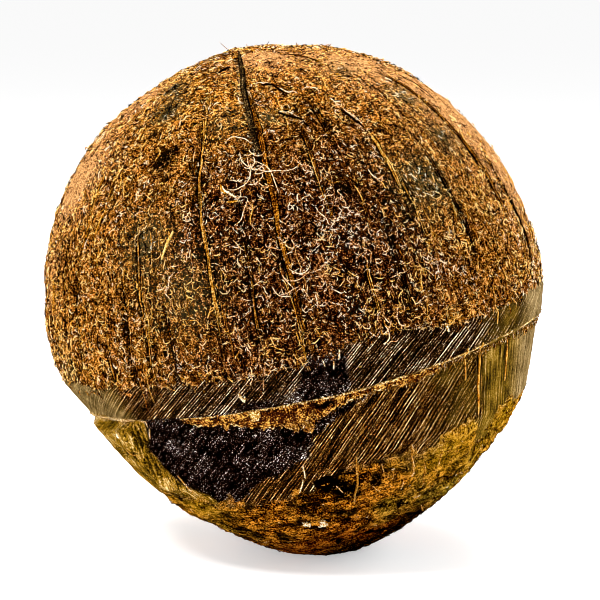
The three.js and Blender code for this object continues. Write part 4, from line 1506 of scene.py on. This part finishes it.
# Strands rooted at random under the torn edge, a share of them along the rings, then the two white tufts.
def makeUnderStrands(material):
    rng = np.random.default_rng(ochres["seed"])
    count = ochres["count"]
    around = rng.uniform(0, fullTurn, 2 * count)
    down = np.arccos(rng.uniform(-1, math.cos(math.radians(ochres["fromDown"])), 2 * count))
    keep = np.flatnonzero(belowEdge(around, down) > 0)[:count]
    around, down = around[keep], down[keep]
    ringed = rng.uniform(0, 1, len(keep)) < ochres["ringed"]
    heading = np.where(ringed, np.pi / 2, 0) + rng.normal(0, 0.7, len(keep))
    drawn = drawStrands(rng, around, down, ochres, heading)
    # Darker near the bottom, and in soot, pits and the painted shade low on the right.
    drawn["tint"] -= 0.2 * ease(np.degrees(down), 146, 166) + 1.1 * sootAndShadeShare(around, down)
    drawn["hue"] *= 0.7
    makeStrands("ochreFibres", material, underSkin, drawn, ochres["steps"], rng)
    count = tuftStyle["count"]
    pick = rng.integers(0, len(tufts), count)
    around = np.radians(column(tufts, "around")[pick] + rng.normal(0, 0.4, count))
    down = np.radians(column(tufts, "down")[pick] + rng.normal(0, 0.5, count))
    drawn = drawStrands(rng, around, down, tuftStyle, rng.uniform(0, 6, count))
    makeStrands("whiteTufts", material, underSkin, drawn, tuftStyle["steps"], rng, rim=tuftStyle["rim"])


# Bits that catch the eye on the band and below it: heading 0 is down the nut and 90 is round it.
bits = table("around down heading length thick tint",
             (255, 102.2, 20, 2.4, 0.42, 0.85), (255.6, 102.8, -30, 1.6, 0.3, 0.92),
             (278, 97, -15, 2.4, 0.2, 0.95), (276.5, 99, -5, 2.0, 0.16, 0.9),
             (274.5, 98, 10, 1.8, 0.14, 0.93), (303.5, 97.6, 20, 2.2, 0.34, 0.88),
             (257, 108.3, 60, 2.6, 0.7, 0.72), (256, 109.6, -70, 2.0, 0.3, 0.95),
             (247.6, 107.6, 5, 3.4, 0.34, 0.5), (223, 107, -8, 2.6, 0.14, 0.75),
             (222.5, 110, -25, 3.0, 0.2, 0.66), (217, 113, 35, 4.0, 0.14, 0.6),
             (215, 108, 30, 1.2, 0.26, 0.85), (229, 123, 35, 6.0, 0.14, 0.66),
             (100, 100, 20, 2.2, 0.3, 0.85))
drips = table("around down heading length thick tint",
              (277, 130, -8, 15.5, 0.32, 0.54), (293.5, 127.5, 14, 10, 0.38, 0.60),
              (298.5, 133, 18, 9, 0.2, 0.46), (285, 128.5, 5, 5.4, 0.2, 0.58),
              (288, 130, -4, 4.2, 0.18, 0.56), (291.5, 134, -12, 4.6, 0.18, 0.58),
              (283, 134, 35, 3.4, 0.16, 0.62), (303, 129, 14, 6.0, 0.2, 0.52),
              (309, 150, 30, 5.0, 0.2, 0.61), (272, 131, 20, 2.8, 0.16, 0.85),
              (264, 123.5, -8, 3.4, 0.2, 0.93), (262, 127.4, -22, 4.4, 0.2, 0.90),
              (266.8, 111.8, 8, 4.4, 0.22, 0.93), (268.2, 113, 16, 2.6, 0.2, 0.60),
              (264.8, 112.4, -10, 2.4, 0.26, 0.56), (60, 128, 0, 6.0, 0.2, 0.56))
bitStyle = dict(seed=615, steps=7, bend=0.15, sway=(0.05, 0.15), lift=(0.2, 0.12, 0.1), paler=0.12,
                hue=0.6, rim=0.4)
dripStyle = dict(bitStyle, seed=616, steps=12)


# Radius of the low skin: the larger of the nut's surface and the underside's skin.
def lowSkin(around, down):
    return np.maximum(nutSurface(around, down), underSkin(around, down))


# The camera: how far off it stands in mm, how high in degrees, and how far right of the middle it looks.
camera = dict(distance=600, elevation=8, lens=155.9, sensor=36, aimRight=1.15)


# The camera stands in front of the nut, back along the direction of its elevation.
def makeCamera():
    e = math.radians(camera["elevation"])
    back = np.array([0, -math.cos(e), math.sin(e)])
    target = middle + np.array([camera["aimRight"], 0, 0])
    data = bpy.data.cameras.new("camera")
    data.lens = camera["lens"]
    data.sensor_width = camera["sensor"]
    data.clip_start, data.clip_end = 0.01, 100
    obj = bpy.data.objects.new("camera", data)
    obj.location = (target + back * camera["distance"]) * mm
    obj.rotation_euler = (math.pi / 2 - e, 0, 0)
    bpy.context.collection.objects.link(obj)
    bpy.context.scene.camera = obj


# Soft boxes: where each stands, in metres, its width and height, and its watts. Each faces the nut.
softBoxes = [dict(name="keyLight", at=(-0.4, -0.5, 0.75), size=(0.16, 0.16), watts=6),
             dict(name="leftRim", at=(-0.6, 0.15, 0.25), size=(0.3, 0.6), watts=2.5),
             dict(name="rightRim", at=(0.6, 0.15, 0.25), size=(0.3, 0.6), watts=4),
             dict(name="topLight", at=(0.05, 0.2, 0.75), size=(0.5, 0.4), watts=7)]
studio = dict(world=0.6, floor=0.85, glow=0.44, reach=8.0)


# Soft boxes turned to face the nut's middle, an even white world, and a pale floor that glows a little.
def makeStudio():
    for box in softBoxes:
        data = bpy.data.lights.new(box["name"], "AREA")
        data.shape = "RECTANGLE"
        data.size, data.size_y = box["size"]
        data.energy = box["watts"]
        obj = bpy.data.objects.new(box["name"], data)
        obj.location = box["at"]
        facing = Vector(middle * mm) - obj.location
        obj.rotation_euler = facing.to_track_quat("-Z", "Y").to_euler()
        bpy.context.collection.objects.link(obj)
    world = bpy.data.worlds.new("studio")
    world.use_nodes = True
    world.node_tree.nodes["Background"].inputs["Color"].default_value = (1, 1, 1, 1)
    world.node_tree.nodes["Background"].inputs["Strength"].default_value = studio["world"]
    bpy.context.scene.world = world
    mesh = bpy.data.meshes.new("floor")
    r = studio["reach"]
    mesh.from_pydata([(-r, -r, 0), (r, -r, 0), (r, r, 0), (-r, r, 0)], [], [(0, 1, 2, 3)])
    floor = bpy.data.objects.new("floor", mesh)
    bpy.context.collection.objects.link(floor)
    material, _, shader = newMaterial("paper", 0.9)
    shader.inputs["Base Color"].default_value = (studio["floor"],) * 3 + (1,)
    shader.inputs["Emission Color"].default_value = (1, 1, 1, 1)
    shader.inputs["Emission Strength"].default_value = studio["glow"]
    mesh.materials.append(material)
    bpy.context.scene.view_settings.view_transform = "Standard"
    bpy.context.scene.cycles.filter_width = 1.0


makeCamera()
makeStudio()
print("Stage 3: camera, soft boxes and floor are in place")
makeDome(coirSkin())
makeBand(bandMaterial())
makeUnderside(underMaterial())
print("Stage 4: the coat's ground, the band and the underside are closed shells")
coirStrands = strandMaterial("coirStrands", **coirColours)
ochreStrands = strandMaterial("ochreStrands", **ochreColours)
makeMat(coirStrands)
makeHairs(coirStrands)
makeVeins(coirStrands)
makeRibs(coirStrands)
makeStrays(coirStrands)
makePlaced("splinters", coirStrands, coatSkin, splinters, splinterStyle)
makeHem(coirStrands)
print("Stage 5: the coat's strands, hairs, bundles and splinters are laid")
makeRag(ragMaterial())
makeFringe(ochreStrands)
makeUnderStrands(ochreStrands)
makePlaced("bandBits", ochreStrands, lowSkin, bits, bitStyle)
makePlaced("drips", ochreStrands, lowSkin, drips, dripStyle)
print("Stage 6: the rag, the fringe and the ochre strands are laid")
